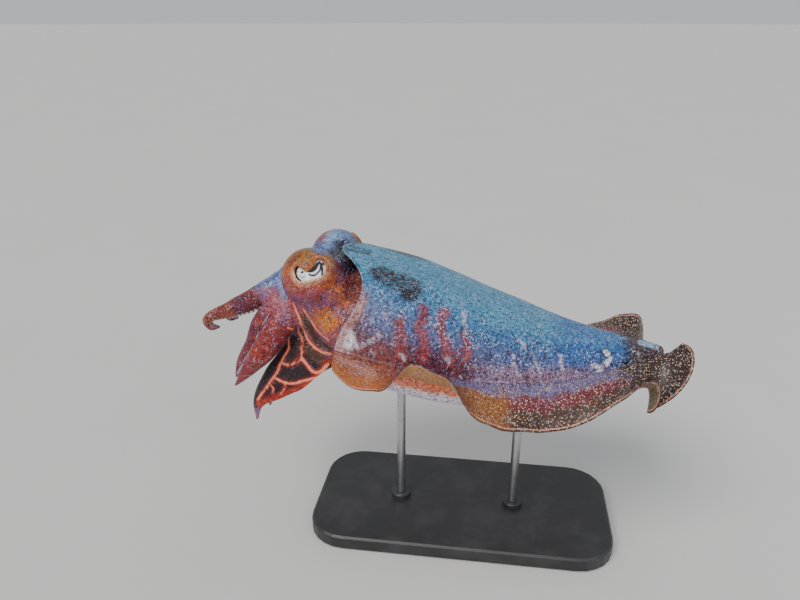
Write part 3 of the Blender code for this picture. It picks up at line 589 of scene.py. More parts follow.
def arm_frames(number, side):
    """(place, along, suckered face) down one arm at even shares, in the head's frame."""
    line = [Vector((f, side * s, u)) * MM for f, s, u in ARM_LINES[number]]
    if side > 0:
        drop = Vector((0.0, 0.0, RIGHT_ARM_DROOP[number] * MM)) / (len(line) - 1)
        line = [place - drop * k for k, place in enumerate(line)]
    lengths = [0.0]
    for a, b in zip(line, line[1:]):
        lengths.append(lengths[-1] + (b - a).length)
    stations = [(length / lengths[-1], *p) for length, p in zip(lengths, line)]
    steps = 80
    places = [Vector(along(stations, s)) for s in spread(0.0, 1.0, steps)]
    face = Vector((0.0, side * ARM_FACES[number][0], ARM_FACES[number][1]))
    frames = []
    for i, place in enumerate(places):
        ahead = (places[min(i + 1, steps)] - places[max(i - 1, 0)]).normalized()
        face = (face - ahead * face.dot(ahead)).normalized()
        frames.append((place, ahead, face))
    return frames


ARMS = [(number, side) for number in range(4) for side in (-1, 1)]
ARM_FRAMES = {arm: arm_frames(*arm) for arm in ARMS}


def arm_length(number, side):
    frames = ARM_FRAMES[number, side]
    return sum((b[0] - a[0]).length for a, b in zip(frames, frames[1:]))


def arm_section(number, side, share):
    """The arm's place, direction, suckered face and keel at a share of its length, in the head's frame."""
    frames = ARM_FRAMES[number, side]
    exact = share * (len(frames) - 1)
    i = min(int(exact), len(frames) - 2)
    place, ahead, face = (a.lerp(b, exact - i) for a, b in zip(frames[i], frames[i + 1]))
    return place, ahead, face, ahead.cross(face).normalized() * side


def arm_surface(number, side, share, angle, extra=0.0):
    """A point round the arm, in the model; angle 0 is the keel and a quarter turn on is the suckered face."""
    place, _, face, keel = arm_section(number, side, share)
    plain, keeled, half = (v * MM for v in along(ARM_WIDTHS[number], share))
    wide, deep = math.cos(angle), math.sin(angle)
    reach = keeled if wide > 0 else plain
    thin = 1 - KEEL_THIN * max(wide, 0.0) ** 1.5 * max(0.0, 1 - plain / keeled)
    depth = deep * half * thin * (ARM_FLATNESS[number] if deep > 0 else 1.0)
    return head_point(place + keel * (reach + extra) * wide + face * (depth + extra * deep))


def make_arm(number, side):
    """One arm from inside the head to its rounded tip, with where each of its points lies."""
    length = arm_length(number, side)
    widest = max(plain + keeled for _, plain, keeled, _ in ARM_WIDTHS[number]) * MM
    sides = max(28, round(widest * 2.35 / ARM_STEP / 2) * 2)
    count = round((1 - ARM_START) * length / ARM_STEP)
    rings, places, codes = [], [], []
    for share in spread(ARM_START, 1.0, count):
        thin = ARM_ROOT_INSET * (1 - smooth_step((share - 0.16) / 0.14))
        ring = []
        for k in range(sides):
            angle = 2 * math.pi * (k + 0.5) / sides
            ring.append(arm_surface(number, side, share, angle, thin))
            places.append(tuple(ring[-1]))
            codes.append((share, angle))
        rings.append(ring)
    tip = sum(rings[-1], Vector()) / sides
    ahead = head_turn(arm_section(number, side, 1.0)[1])
    for step, shrink in ARM_TIP:
        rings.append([tip + (p - tip) * shrink + ahead * step * ARM_TIP_LENGTH for p in rings[count]])
    return tube(f"arm_{number}_{side}", rings), np.array(places), codes


def apply_modifier(piece, kind, **settings):
    modifier = piece.modifiers.new(kind.lower(), kind)
    for name, value in settings.items():
        setattr(modifier, name, value)
    with bpy.context.temp_override(object=piece, active_object=piece):
        bpy.ops.object.modifier_apply(modifier=modifier.name)


def combine(base, pieces, operation="UNION"):
    """Joins closed pieces to base, or cuts them from it, in one step."""
    group = bpy.data.collections.new("group_of_" + base.name)
    for piece in pieces:
        group.objects.link(piece)
    settings = {"operand_type": "COLLECTION", "collection": group, "solver": "MANIFOLD"}
    apply_modifier(base, "BOOLEAN", operation=operation, **settings)
    for piece in pieces:
        bpy.data.objects.remove(piece)
    bpy.data.collections.remove(group)
    tidy_shell(base)


def points_of(mesh):
    co = np.empty(len(mesh.vertices) * 3)
    mesh.vertices.foreach_get("co", co)
    return co.reshape(-1, 3)


def place_points(mesh, co):
    mesh.vertices.foreach_set("co", co.reshape(-1))
    mesh.update()


def edges_of(mesh):
    edges = np.empty(len(mesh.edges) * 2, np.int32)
    mesh.edges.foreach_get("vertices", edges)
    return edges.reshape(-1, 2)


def corners_of(mesh):
    mesh.calc_loop_triangles()
    corners = np.empty(len(mesh.loop_triangles) * 3, np.int32)
    mesh.loop_triangles.foreach_get("vertices", corners)
    return corners.reshape(-1, 3)


def normals_from(co, corners):
    a, b, c = co[corners[:, 0]], co[corners[:, 1]], co[corners[:, 2]]
    flat = np.cross(b - a, c - a)
    total = np.zeros_like(co)
    for k in range(3):
        for axis in range(3):
            total[:, axis] += np.bincount(corners[:, k], flat[:, axis], len(co))
    return total / (np.linalg.norm(total, axis=1, keepdims=True) + 1e-20)


def neighbour_mean(values, edges, counts):
    total = np.zeros_like(values)
    for axis in range(values.shape[1]):
        total[:, axis] = np.bincount(edges[:, 0], values[edges[:, 1], axis], len(values))
        total[:, axis] += np.bincount(edges[:, 1], values[edges[:, 0], axis], len(values))
    return total / counts[:, None]


def fill_creases(mesh, rounds, strength):
    """Raises hollows towards the mean of their neighbours, and leaves what bulges as it is."""
    co, edges, corners = points_of(mesh), edges_of(mesh), corners_of(mesh)
    counts = np.maximum(np.bincount(edges.reshape(-1), minlength=len(co)), 1)
    for _ in range(rounds):
        move = neighbour_mean(co, edges, counts) - co
        out = (move * normals_from(co, corners)).sum(1)
        share = np.where(out > 0, strength, 0.0)
        co = co + move * share[:, None]
    place_points(mesh, co)


def relax(mesh, rounds, strength):
    co, edges = points_of(mesh), edges_of(mesh)
    counts = np.maximum(np.bincount(edges.reshape(-1), minlength=len(co)), 1)
    for _ in range(rounds):
        co = co + (neighbour_mean(co, edges, counts) - co) * strength
    place_points(mesh, co)


def neck_rings():
    rings = []
    for share in spread(-0.06, 1.0, 24):
        wide = along(NECK_SHAPE, max(share, 0.0))[0]
        x = RECESS_DEPTH - NECK_LENGTH * share
        y, z = NECK_HALF_WIDTH * wide, NECK_HALF_HEIGHT * wide
        rings.append([body_point(x, y * c, NECK_RISE + z * d) for c, d in circle(64)])
    return rings


def turned_rings(start, turn, shape, sides):
    """Rings round a line from start, each at a length and a radius of the shape."""
    rings = []
    for length, radius in shape:
        rings.append([start + turn((length, c * radius, d * radius)) for c, d in circle(sides)])
    return rings


def make_head_shell():
    """The head with its neck, cheeks, eye bulges, mouth and the arms' roots, blended into one shell."""
    head = ball("head_shell", head_point(SKULL[0]), SKULL[1], head_turn)
    pieces = [
        ball("crown", head_point(CROWN[0]), CROWN[1], head_turn),
        ball("nape", head_point(NAPE[0]), NAPE[1], head_turn),
        tube("neck", neck_rings()),
        tube("mouth", turned_rings(head_point(MOUTH_PLACE), head_turn, MOUTH_SHAPE, 32)),
    ]
    for side in (-1, 1):
        bulge, _, turn = eye_frame(side)
        pieces.append(ball("bulge", bulge, (EYE_BULGE,) * 3, turn))
        for name, (place, radii) in (("cheek", CHEEK), ("under_eye", UNDER_EYE)):
            pieces.append(ball(name, head_point(on_side(place, side)), radii, head_turn))
        for number in range(4):
            rings = []
            for share in spread(0.0, STUB_END, 12):
                angles = [2 * math.pi * (k + 0.5) / STUB_SIDES for k in range(STUB_SIDES)]
                rings.append([arm_surface(number, side, share, angle) for angle in angles])
            pieces.append(tube("stub", rings))
    combine(head, pieces)
    apply_modifier(head, "REMESH", mode="VOXEL", voxel_size=HEAD_VOXEL, adaptivity=0.0)
    tidy_shell(head)
    fill_creases(head.data, FILL_ROUNDS, 0.5)
    relax(head.data, RELAX_ROUNDS, 0.5)
    return head


def opening_line(side, reach, steps=12):
    """The lids' opening as a loop, at a distance before the bulge's middle, or on it if reach is None."""
    bulge, _, turn = eye_frame(side)
    line = []
    for b, c in smooth_loop(LID_OPENING, steps):
        deep = math.sqrt(EYE_BULGE**2 - b**2 - c**2) if reach is None else reach
        line.append(bulge + turn((deep, b, c)))
    return line


def eyeball(name, side, extra=0.0):
    """The front of the eyeball, from its flat back forwards, grown by extra all round."""
    _, middle, turn = eye_frame(side)
    radius = EYE_BALL + extra
    rings = []
    for tall in spread(math.acos(-(BALL_DEPTH + extra) / radius), 0.02, EYE_RINGS):
        deep, wide = radius * math.cos(tall), radius * math.sin(tall)
        rings.append([middle + turn((deep, wide * c, wide * d)) for c, d in circle(EYE_SIDES)])
    return tube(name, rings)


def mark_eye(eye, side):
    """How far each point of the eyeball is from the pupil's folds and thin lines, and how flushed it is."""
    bulge, _, turn = eye_frame(side)
    flat = ((points_of(eye.data) - np.array(bulge)) @ axes_table(turn) * TO_MM)[:, 1:]
    for name, lines in (("pupil", PUPIL_LINES), ("grey_lines", GREY_LINES)):
        reach = np.min([near_line(flat, smooth_line(line)) - width for line, width in lines], axis=0)
        give_numbers(eye.data, name, reach)
    give_numbers(eye.data, "flush", ramp(near_line(flat, FLUSHED_RIM), 3.0, 0.5) * 0.8)


def make_lids(side):
    """The roll along the edge of the lids."""
    bulge = eye_frame(side)[0]
    line = opening_line(side, None, 16)
    count = len(line)
    points, faces = [], []
    for i, place in enumerate(line):
        ahead = (line[(i + 1) % count] - line[i - 1]).normalized()
        out = (place - bulge).normalized()
        aside = ahead.cross(out).normalized()
        points += [place + (out * c + aside * d) * LID_RIM for c, d in circle(LID_SIDES)]
    for i in range(count):
        here, there = i * LID_SIDES, (i + 1) % count * LID_SIDES
        for k in range(LID_SIDES):
            beside = (k + 1) % LID_SIDES
            faces.append((here + k, here + beside, there + beside, there + k))
    lids = new_piece("lids_" + SIDE_WORDS[side], points, faces)
    tidy_shell(lids)
    return lids


def paint_lids(lids, side):
    """Pale yellow below the eye and orange-brown above it."""
    places = points_of(lids.data)
    bulge, _, turn = eye_frame(side)
    up = (places - np.array(bulge)) @ np.array(turn((0, 0, 1))) * TO_MM
    paint = Paint(len(places), (226, 188, 150))
    paint.wash((172, 108, 72), ramp(up, -1.5, 1.5))
    give_skin(lids.data, paint.colour, paint.colour, lines=NO_LINE, specks=0.2, dots=0.0, ribs=0.0)


def make_suckers(number, side):
    """Four rows of cups on the inner face of one arm, smaller towards its tip."""
    draw = np.random.default_rng(SUCKER_SEED + number)
    points, faces = [], []
    share = SUCKER_START
    length = arm_length(number, side)
    column = 0
    while share < SUCKER_END:
        place, _, face, keel = arm_section(number, side, share)
        plain, _, half = (v * MM for v in along(ARM_WIDTHS[number], share))
        radius = min(SUCKER_ROOT * (1 - share) + SUCKER_TIP * share, plain * SUCKER_WIDEST)
        for row in SUCKER_ROWS[column % 2]:
            size = radius * draw.uniform(0.9, 1.1) * (1.0 if abs(row) < 0.5 else 0.85)
            wide = row * 0.95
            deep = math.sqrt(1 - wide**2)
            foot = place + keel * plain * wide + face * deep * half * ARM_FLATNESS[number]
            out = (face + keel * wide * 0.5).normalized()
            side_way = (keel - out * keel.dot(out)).normalized()
            on = out.cross(side_way)
            first = len(points)
            for wide_share, high in SUCKER_SHAPE:
                for c, d in circle(SUCKER_SIDES):
                    rim = (side_way * c + on * d) * size * wide_share
                    points.append(head_point(foot + rim + out * size * high))
            for i in range(len(SUCKER_SHAPE) - 1):
                for k in range(SUCKER_SIDES):
                    a, b = first + i * SUCKER_SIDES + k, first + i * SUCKER_SIDES + (k + 1) % SUCKER_SIDES
                    faces.append((a, b, b + SUCKER_SIDES, a + SUCKER_SIDES))
            last = len(points) - SUCKER_SIDES
            faces.append(tuple(range(last, len(points))))
            faces.append(tuple(range(first + SUCKER_SIDES - 1, first - 1, -1)))
        share += radius * SUCKER_SPACING / length
        column += 1
    return points, faces


def join_suckers():
    points, faces = [], []
    for arm in ARMS:
        more, cells = make_suckers(*arm)
        faces += [tuple(i + len(points) for i in cell) for cell in cells]
        points += more
    made = new_piece("suckers", points, faces)
    depths = np.repeat(SUCKER_SHADE_DEPTHS, SUCKER_SIDES)
    give_numbers(made.data, "depth", np.tile(depths, len(points) // len(depths)))
    tidy_shell(made)
    return made


def make_skin():
    mantle, mantle_places, mantle_codes = make_mantle_shell()
    arms, arm_places, arm_codes = [], [], []
    for number, side in ARMS:
        arm, places, codes = make_arm(number, side)
        arms.append(arm)
        arm_places.append(places)
        arm_codes += [(number, *code) for code in codes]
    head = make_head_shell()
    head_places = points_of(head.data)
    funnel = tube("funnel", turned_rings(FUNNEL_START, axes_from(FUNNEL_LINE), FUNNEL_SHAPE, 40))
    combine(mantle, [head, funnel, *arms])
    cutters = []
    for side in (-1, 1):
        cutters.append(eyeball("socket", side, SOCKET_GAP))
        line = [opening_line(side, reach) for reach in (EYE_OUT, EYE_BULGE + OPENING_REACH)]
        cutters.append(tube("opening", line))
    combine(mantle, cutters, "DIFFERENCE")
    samples = (mantle_places, mantle_codes, np.concatenate(arm_places), arm_codes, head_places)
    return mantle, samples


def shade(red, green, blue):
    """A colour given as it looks on a screen, made linear, then deeper and stronger for studio light."""
    linear = np.array([(v / 255) ** 2.2 for v in (red, green, blue)])
    grey = linear.mean()
    strong = grey + (linear - grey) * (1 + COLOUR_STRENGTH * (1 - grey))
    return np.clip(strong * (COLOUR_DEPTH + (1 - COLOUR_DEPTH) * grey), 0.002, 0.92)


def ramp(values, start, end):
    """0 before start, 1 after end, and smooth between them."""
    t = np.clip((values - start) / (end - start), 0.0, 1.0)
    return t * t * (3 - 2 * t)


def fade(values, start, end):
    """1 before start, 0 after end, and smooth between them."""
    return 1 - ramp(values, start, end)


def band(values, start, end, soft):
    return ramp(values, start - soft, start) * fade(values, end, end + soft)


def near_line(points, line):
    """The distance of each point from a line through places."""
    best = np.full(len(points), 1e9)
    line = [np.array(p, float) for p in line]
    if len(line) == 1:
        line = line * 2
    for a, b in zip(line, line[1:]):
        way = b - a
        t = np.clip(((points - a) @ way) / max(way @ way, 1e-9), 0.0, 1.0)
        best = np.minimum(best, np.linalg.norm(points - a - t[:, None] * way, axis=1))
    return best


def stroke(points, line, start, end, uneven=0.0):
    """1 within start of a line through places, and 0 beyond end."""
    return fade(near_line(points, line) + uneven, start, end)


def smooth_line(line, steps=6):
    """A line through places, rounded between them."""
    stations = [(i / (len(line) - 1), *p) for i, p in enumerate(line)]
    return [along(stations, t) for t in spread(0.0, 1.0, (len(line) - 1) * steps)]


def grain_field(places, size, seed):
    """A smooth random value from about -1 to 1 at each place, with lumps of the given size."""
    shift = Vector((seed * 3.7, seed * 1.3, seed * 5.1))
    return np.array([noise.noise(Vector(p) / size + shift) for p in places])


class Paint:
    """The skin's colours at its points, laid on in washes."""

    def __init__(self, count, colour):
        self.colour = np.tile(shade(*colour), (count, 1))

    def wash(self, colour, amount=1.0, where=1.0):
        share = np.clip(amount * where, 0.0, 1.0)[:, None]
        self.colour = self.colour * (1 - share) + shade(*colour) * share

    def within(self, part):
        """A wash that keeps to one part, unless another is named."""
        return lambda colour, amount=1.0, where=part: self.wash(colour, amount, where)


def give_numbers(mesh, name, values):
    mesh.attributes.new(name, "FLOAT", "POINT").data.foreach_set("value", values.astype(np.float32))


def give_colours(mesh, name, colours):
    full = np.ones((len(colours), 4), np.float32)
    full[:, :3] = np.clip(colours, 0.0, 1.0)
    mesh.attributes.new(name, "FLOAT_COLOR", "POINT").data.foreach_set("color", full.reshape(-1))


def give_skin(mesh, paint, ink, **numbers):
    """All that the skin's material reads from a mesh."""
    give_colours(mesh, "paint", paint)
    give_colours(mesh, "ink", ink)
    for name, values in numbers.items():
        give_numbers(mesh, name, np.broadcast_to(values, len(mesh.vertices)))


def in_head(places):
    """Places of the model in the head's frame, in millimetres."""
    return (np.array(places) - np.array(HEAD_CENTRE)) @ np.array(HEAD_AXES) * TO_MM


class Lie:
    """Where each point of a mesh lies on the animal."""

    def __init__(self, places, samples):
        mantle_places, mantle_codes, arm_places, arm_codes, head_places = samples
        tree = kdtree.KDTree(len(mantle_places) + len(arm_places) + len(head_places))
        for i, place in enumerate([*mantle_places, *arm_places, *head_places]):
            tree.insert(place, i)
        tree.balance()
        found = np.array([tree.find(p)[1] for p in places])
        split = len(mantle_places)
        ends = split + len(arm_places)
        sheet, share, across = np.array(mantle_codes).T
        number, arm_share, angle = np.array(arm_codes).T
        self.on_mantle = found < split
        self.on_arm = (found >= split) & (found < ends)
        self.on_head = found >= ends
        pick = np.where(self.on_mantle, found, 0)
        self.sheet = np.where(self.on_mantle, sheet[pick], 0)
        self.share = np.where(self.on_mantle, share[pick], 0)
        self.across = np.where(self.on_mantle, across[pick], 0)
        pick = np.where(self.on_arm, found - split, 0)
        self.arm = np.where(self.on_arm, number[pick], -1)
        self.arm_share = np.where(self.on_arm, arm_share[pick], 0)
        self.arm_angle = np.where(self.on_arm, angle[pick], 0)
        own = in_head(places)
        own[:, 1] = -np.abs(own[:, 1])
        self.head = own
        bulge, _, turn = eye_frame(-1)
        left = own / TO_MM @ np.array(HEAD_AXES).T + np.array(HEAD_CENTRE)
        self.eye = (left - np.array(bulge)) @ axes_table(turn) * TO_MM
        body = (places - np.array(MANTLE_FRONT)) @ np.array(MANTLE_TURN)
        lift = np.maximum(0.0, body[:, 0] / MANTLE_LENGTH - TAIL_LIFT_FROM)
        body[:, 2] -= TAIL_LIFT * lift**2
        body[:, 1] = -np.abs(body[:, 1])
        self.body = body * TO_MM


def paint_mantle(paint, lie, lumps, specks):
    """Blue back, its blue partly painted light from above, with a violet, rust-streaked flank, a brown tail
    and a pale belly.
    """
    s, q, place = lie.share, np.abs(lie.across), lie.body
    back = (lie.sheet > 0) & (q <= 1.0) & (s >= 0)
    wash = paint.within(back)
    uneven = q + 0.06 * lumps[1]
    # Painted light: the blues of the back stand for blue light falling from above, laid over the skin's own
    # tones.
    wash((104, 168, 200))
    wash((92, 132, 176), ramp(uneven, 0.22, 0.50))
    wash((98, 112, 160), ramp(uneven, 0.50, 0.72))
    wash((108, 70, 88), ramp(uneven, 0.66, 0.90) * fade(s, 0.38, 0.50))
    wash((174, 142, 162), ramp(uneven, 0.74, 0.95) * ramp(s, 0.36, 0.52) * fade(s, 0.72, 0.84))
    wash((120, 84, 96), fade(s, 0.02, 0.10) * ramp(uneven, 0.55, 0.75) * 0.8)
    # More painted blue light from above, deeper near the tail.
    wash((78, 120, 186), band(s, 0.70, 0.90, 0.08) * fade(q, 0.60, 0.95) * 0.7)
    wash((136, 80, 86), band(s, 0.10, 0.42, 0.04) * ramp(uneven, 0.78, 0.95) * (0.5 + 0.5 * lumps[1]))
    wash((146, 84, 76), fade(s, 0.15, 0.28) * ramp(uneven, 0.84, 1.02) * 0.9)
    for streak in RUST_STREAKS:
        reach = near_line(place, smooth_line(streak)) + 1.5 * lumps[2]
        wash((168, 80, 76), fade(reach + 1.2 * lumps[2], 1.2, 5.5) * 0.85)
        wash((196, 120, 118), stroke(place, [streak[-1]], 0.5, 3.2, lumps[2]) * 0.8)
    dark = stroke(place, DARK_BLOTCH, 8.0, 13.0, 3.0 * lumps[1])
    wash((58, 48, 50), dark * (0.55 + 0.45 * ramp(lumps[2] + 0.3, 0.0, 0.35)))
    wash((26, 62, 78), stroke(place, DARK_SLIT, 1.4, 3.2))
    wash((255, 244, 250), stroke(place, PALE_BLOTCH, 2.0, 6.5, 2.6 * lumps[2]))
    for mark in PALE_MARKS:
        wash((224, 202, 214), stroke(place, mark, 0.4, 1.7, 0.7 * lumps[2]) * 0.9)
    tail = ramp(place[:, 0] + 2.0 * lumps[2], 202.0, 206.0)
    wash((24, 30, 48), band(place[:, 0] + 2.0 * lumps[2], 200.0, 204.0, 2.5) * 0.8)
    wash((88, 70, 68), tail)
    # Painted highlight: bluish white on the ridge at the tail tip.
    wash((168, 196, 226), stroke(place, TAIL_PAINTED_HIGHLIGHT, 1.5, 4.0, lumps[2]))
    spot = near_line(place, TAIL_SPOT)
    wash((20, 30, 50), band(spot, 2.6, 3.4, 0.5))
    wash((236, 240, 248), fade(spot, 2.2, 2.7))
    rim = np.where(back, np.abs(place[:, 0] - lip_length(q)), 9.0)
    wash((126, 176, 200), fade(rim, 0.8, 1.8) * fade(q, 0.35, 0.6))
    wash((186, 128, 112), fade(rim + 1.5 * lumps[2], 3.5, 9.0) * ramp(q, 0.40, 0.62) * 0.85)
    wash((196, 176, 190), fade(rim, 0.8, 1.8) * ramp(q, 0.35, 0.6))
    wash((34, 74, 96), band(rim, 2.4, 3.2, 0.6) * fade(q, 0.3, 0.5) * 0.8)
    specks[back] = (0.9 - 0.5 * ramp(q, 0.6, 0.95) * fade(s, 0.3, 0.5))[back]
    specks[back & (dark > 0.3)] = 0.5
    above = lie.sheet > 0
    for ray in STAR_RAYS:
        star = near_line(place, [STAR, ray]) + 0.4 * lumps[2]
        wash((250, 252, 255), fade(star, 0.9, 2.3), above)
    wash((250, 252, 255), stroke(place, [STAR], 1.5, 4.5, lumps[2]), above)
    for drop in FIN_BASE_DROPS:
        wash((250, 246, 250), stroke(place, [drop], 0.8, 1.7), above)
    belly = (lie.sheet < 0) & (q <= 1.0) & (s >= 0)
    wash((250, 238, 246), where=belly)
    wash((250, 146, 108), ramp(q + 0.04 * lumps[2], 0.78, 0.90) * fade(s, 0.8, 0.9), belly)
    specks[belly] = 0.7
    inside = lie.on_mantle & (s < 0)
    wash((96, 70, 84), where=inside)
    specks[inside] = 0.0


def lip_length(q):
    """How far back of the mantle's front plane its upper lip lies, in millimetres."""
    table = np.array(BACK_MARGIN)
    return np.interp(q, table[:, 0], table[:, 1]) * TO_MM


def paint_fins(paint, lie, lumps, ink, lines, specks, dots):
    """Ochre in front, violet to rust to brown beside the back, dark brown at the tail, partly painted shade
    of the far fin, and a pale thread.
    """
    s, t = lie.share, np.abs(lie.across) - 1.0
    fin = lie.on_mantle & (t > 0.0) & (s >= 0)
    top = fin & (lie.sheet > 0)
    low = fin & (lie.sheet < 0)
    wash = paint.within(top)
    soft = t + 0.08 * lumps[1]
    wash((126, 116, 146))
    wash((124, 62, 68), ramp(soft, 0.26, 0.46))
    wash((84, 62, 50), ramp(soft, 0.50, 0.72))
    ochre = band(s, 0.40, 0.50, 0.06) * ramp(soft, 0.18, 0.40)
    wash((158, 106, 70), ochre)
    wash((152, 90, 74), fade(s, 0.17, 0.26) * ramp(soft + 0.2, 0.05, 0.3))
    wash((186, 116, 72), fade(s, 0.15, 0.20) * ramp(soft, 0.3, 0.8) * 0.7)
    # The tail's dark brown, deepened as painted shade for the far fin lying in shade; both fins share it.
    rear = ramp(s + 0.02 * lumps[1], 0.82, 0.90)
    wash((68, 52, 46), rear)
    wash((70, 50, 48), rear * fade(soft, 0.0, 0.35) * 0.6)
    wash((206, 154, 112), where=low)
    wash((250, 140, 100), fade(soft, 0.22, 0.42) * fade(s, 0.86, 0.92), low)
    wash((124, 104, 80), ramp(s, 0.66, 0.80), low)
    specks[fin] = 0.3
    dots[top] = (0.25 + 0.75 * ramp(s, 0.36, 0.5))[top]
    dots[low] = 0.25
    edge = (1 - t) * FIN_WIDTH_MM
    thread = fin & (t > 0.5)
    lines[thread] = np.minimum(lines, np.abs(edge - 2.0) - 0.55)[thread]
    ink[thread] = shade(244, 180, 158)
    wash((70, 38, 36), fade(edge, 0.8, 1.5) * 0.85, fin)


def paint_head(paint, lie, lumps, specks):
    """Red-brown cheeks, ochre and orange round the eyes, painted blue light from above on the crown between
    them and on the bulges' tops, and painted shade in the hollows behind, under the mantle's lip.
    """
    place = lie.head
    head = lie.on_head | (lie.on_arm & (lie.arm_share < 0.3))
    full = np.where(lie.on_head, 1.0, fade(lie.arm_share, 0.18, 0.32)) * head
    wash = paint.within(full)
    forward, aside, up = place.T
    wash((170, 94, 102))
    wash((126, 82, 118), ramp(lumps[0] + 0.4 * lumps[1], 0.0, 0.5) * 0.8)
    wash((204, 122, 102), ramp(lumps[1] - 0.3 * lumps[0], 0.25, 0.6) * 0.6)
    wash((168, 104, 86), ramp(up, -12.0, -22.0) * ramp(forward, 2.0, -8.0) * 0.7)
    slope = up - 0.9 * np.maximum(forward - 18.0, 0.0)
    crown = fade(np.abs(aside) + 3 * lumps[1], 13.0, 26.0) * ramp(slope, -12.0, 4.0)
    # Painted light: blue on the crown, for blue light falling from above.
    wash((98, 128, 174), crown * ramp(forward, -14.0, -7.0) * 0.95)
    # Painted shade behind the head, under the mantle's lip.
    behind = fade(forward, -13.0, -7.0) * fade(np.abs(aside), 14.0, 24.0)
    wash((66, 50, 74), behind * ramp(up, -22.0, -12.0))
    bulge = ramp(np.linalg.norm(lie.eye, axis=1), 27.0, 23.0)
    deep, back, high = lie.eye.T
    facing = bulge * ramp(deep, 1.0, 9.0)
    lids = list(in_head(opening_line(-1, None, 3)))
    reach = near_line(place, lids) + 2.0 * lumps[1] - ramp(back, 8.0, 14.0) * 1.5
    under = ramp(high + 1.5 * lumps[1], -9.0, -14.0)
    wash((196, 112, 78), facing * (1 - under) * fade(reach, 8.0, 14.0))
    wash((166, 114, 66), facing * ramp(high + 2.0 * lumps[1], 1.0, 7.0))
    wash((130, 62, 58), facing * ramp(lumps[1], 0.15, 0.5) * 0.65)
    wash((112, 58, 78), bulge * ramp(back + 2.0 * lumps[1], 16.5, 20.5) * 0.8)
    top = high + 0.15 * back + 2.0 * lumps[1]
    # Painted light: blue on the tops of the eye bulges, from above.
    wash((122, 146, 186), bulge * ramp(top, 14.5, 18.0) * ramp(back, -3.0, 4.0))
    wash((238, 164, 136), stroke(place, lids + lids[:1], 1.0, 4.2) * 0.9)
    wash((156, 98, 56), stroke(place, lids[28:42], 1.5, 6.0) * 0.9)
    # Painted light: the pale blue band on the top of the head behind the bulges.
    wash((146, 172, 208), stroke(place, CROWN_BAND_BLUE_LIGHT, 3.0, 7.5, 1.5 * lumps[2]) * 0.95)
    # Painted shade in the hollows under the mantle's lip, behind the crown and low behind the head.
    wash((44, 28, 40), stroke(place, HOLLOW_PAINTED_SHADE, 4.5, 10.0, 2.0 * lumps[1]))
    wash((44, 30, 36), ramp(forward, -13.0, -17.0) * ramp(up, -20.0, -12.0) * fade(np.abs(aside), 12.0, 20.0))
    wash((58, 30, 34), stroke(place, CROWN_PAINTED_SHADE, 2.5, 6.5, 2.0 * lumps[2]))
    wash((150, 88, 80), stroke(place, RED_HOLLOW, 4.0, 9.0, 2.0 * lumps[1]) * 0.95)
    for spot in ORANGE_SPOTS:
        wash((218, 120, 62), stroke(place, [spot], 1.2, 3.6, 1.6 * lumps[2]) * 0.8)
    cheek = near_line(place, [CHEEK_PATCH]) + 3.0 * lumps[1] + 1.5 * lumps[2]
    wash((208, 116, 72), fade(cheek, 7.0, 15.0))
    wash((226, 146, 58), fade(cheek, 3.0, 8.0) * 0.8)
    specks[head] = 0.55
    specks[head & (facing > 0.5)] = 0.35
    specks[head & (crown > 0.5)] = 0.8


def paint_arms(paint, lie, lumps, ink, lines, specks):
    place = lie.head
    inner = ramp(np.sin(lie.arm_angle), 0.45, 0.8)
    for number, colour in enumerate(ARM_COLOURS):
        own = lie.arm == number
        wash = paint.within(own * ramp(lie.arm_share, 0.18, 0.32))
        wash(colour)
        wash((92, 48, 70), ramp(lumps[1] + 0.4 * lumps[0], 0.05, 0.5) * 0.75)
        wash((196, 92, 62), ramp(lumps[1] - 0.5 * lumps[0] + 0.3 * lumps[2], 0.3, 0.7) * 0.6)
        wash((180, 128, 118), inner * 0.85)
        wash((126, 90, 106), ramp(lie.arm_share, 0.88, 1.0) * 0.8)
        specks[own] = 0.5
    rings = np.sin(lie.arm_share * 2 * math.pi * ARM_RINGS + 1.6 * lumps[1])
    ringed = ramp(rings, 0.1, 0.8) * band(lie.arm_share, 0.60, 0.90, 0.08) * (0.45 + 0.4 * lumps[1])
    paint.wash((222, 132, 58), ringed, lie.arm == 0)
    # Painted highlights of bluish sheen at the first arms' roots and on the strip beside the eye.
    paint.wash((118, 134, 180), stroke(place, ARM_BLUE_SHEEN, 5.0, 12.0, 3.0 * lumps[1]) * 0.9)
    paint.wash((132, 164, 206), stroke(place, BLUE_STRIP_HIGHLIGHT, 1.6, 4.2, 0.8 * lumps[2]) * 0.85)
    border = near_line(place, smooth_line(ARM_BORDER)) - 0.5
    closer = border < lines
    lines[:] = np.minimum(lines, border)
    ink[closer] = shade(196, 190, 222)
    paint_leaf(paint, lie, lumps, ink, lines, specks)


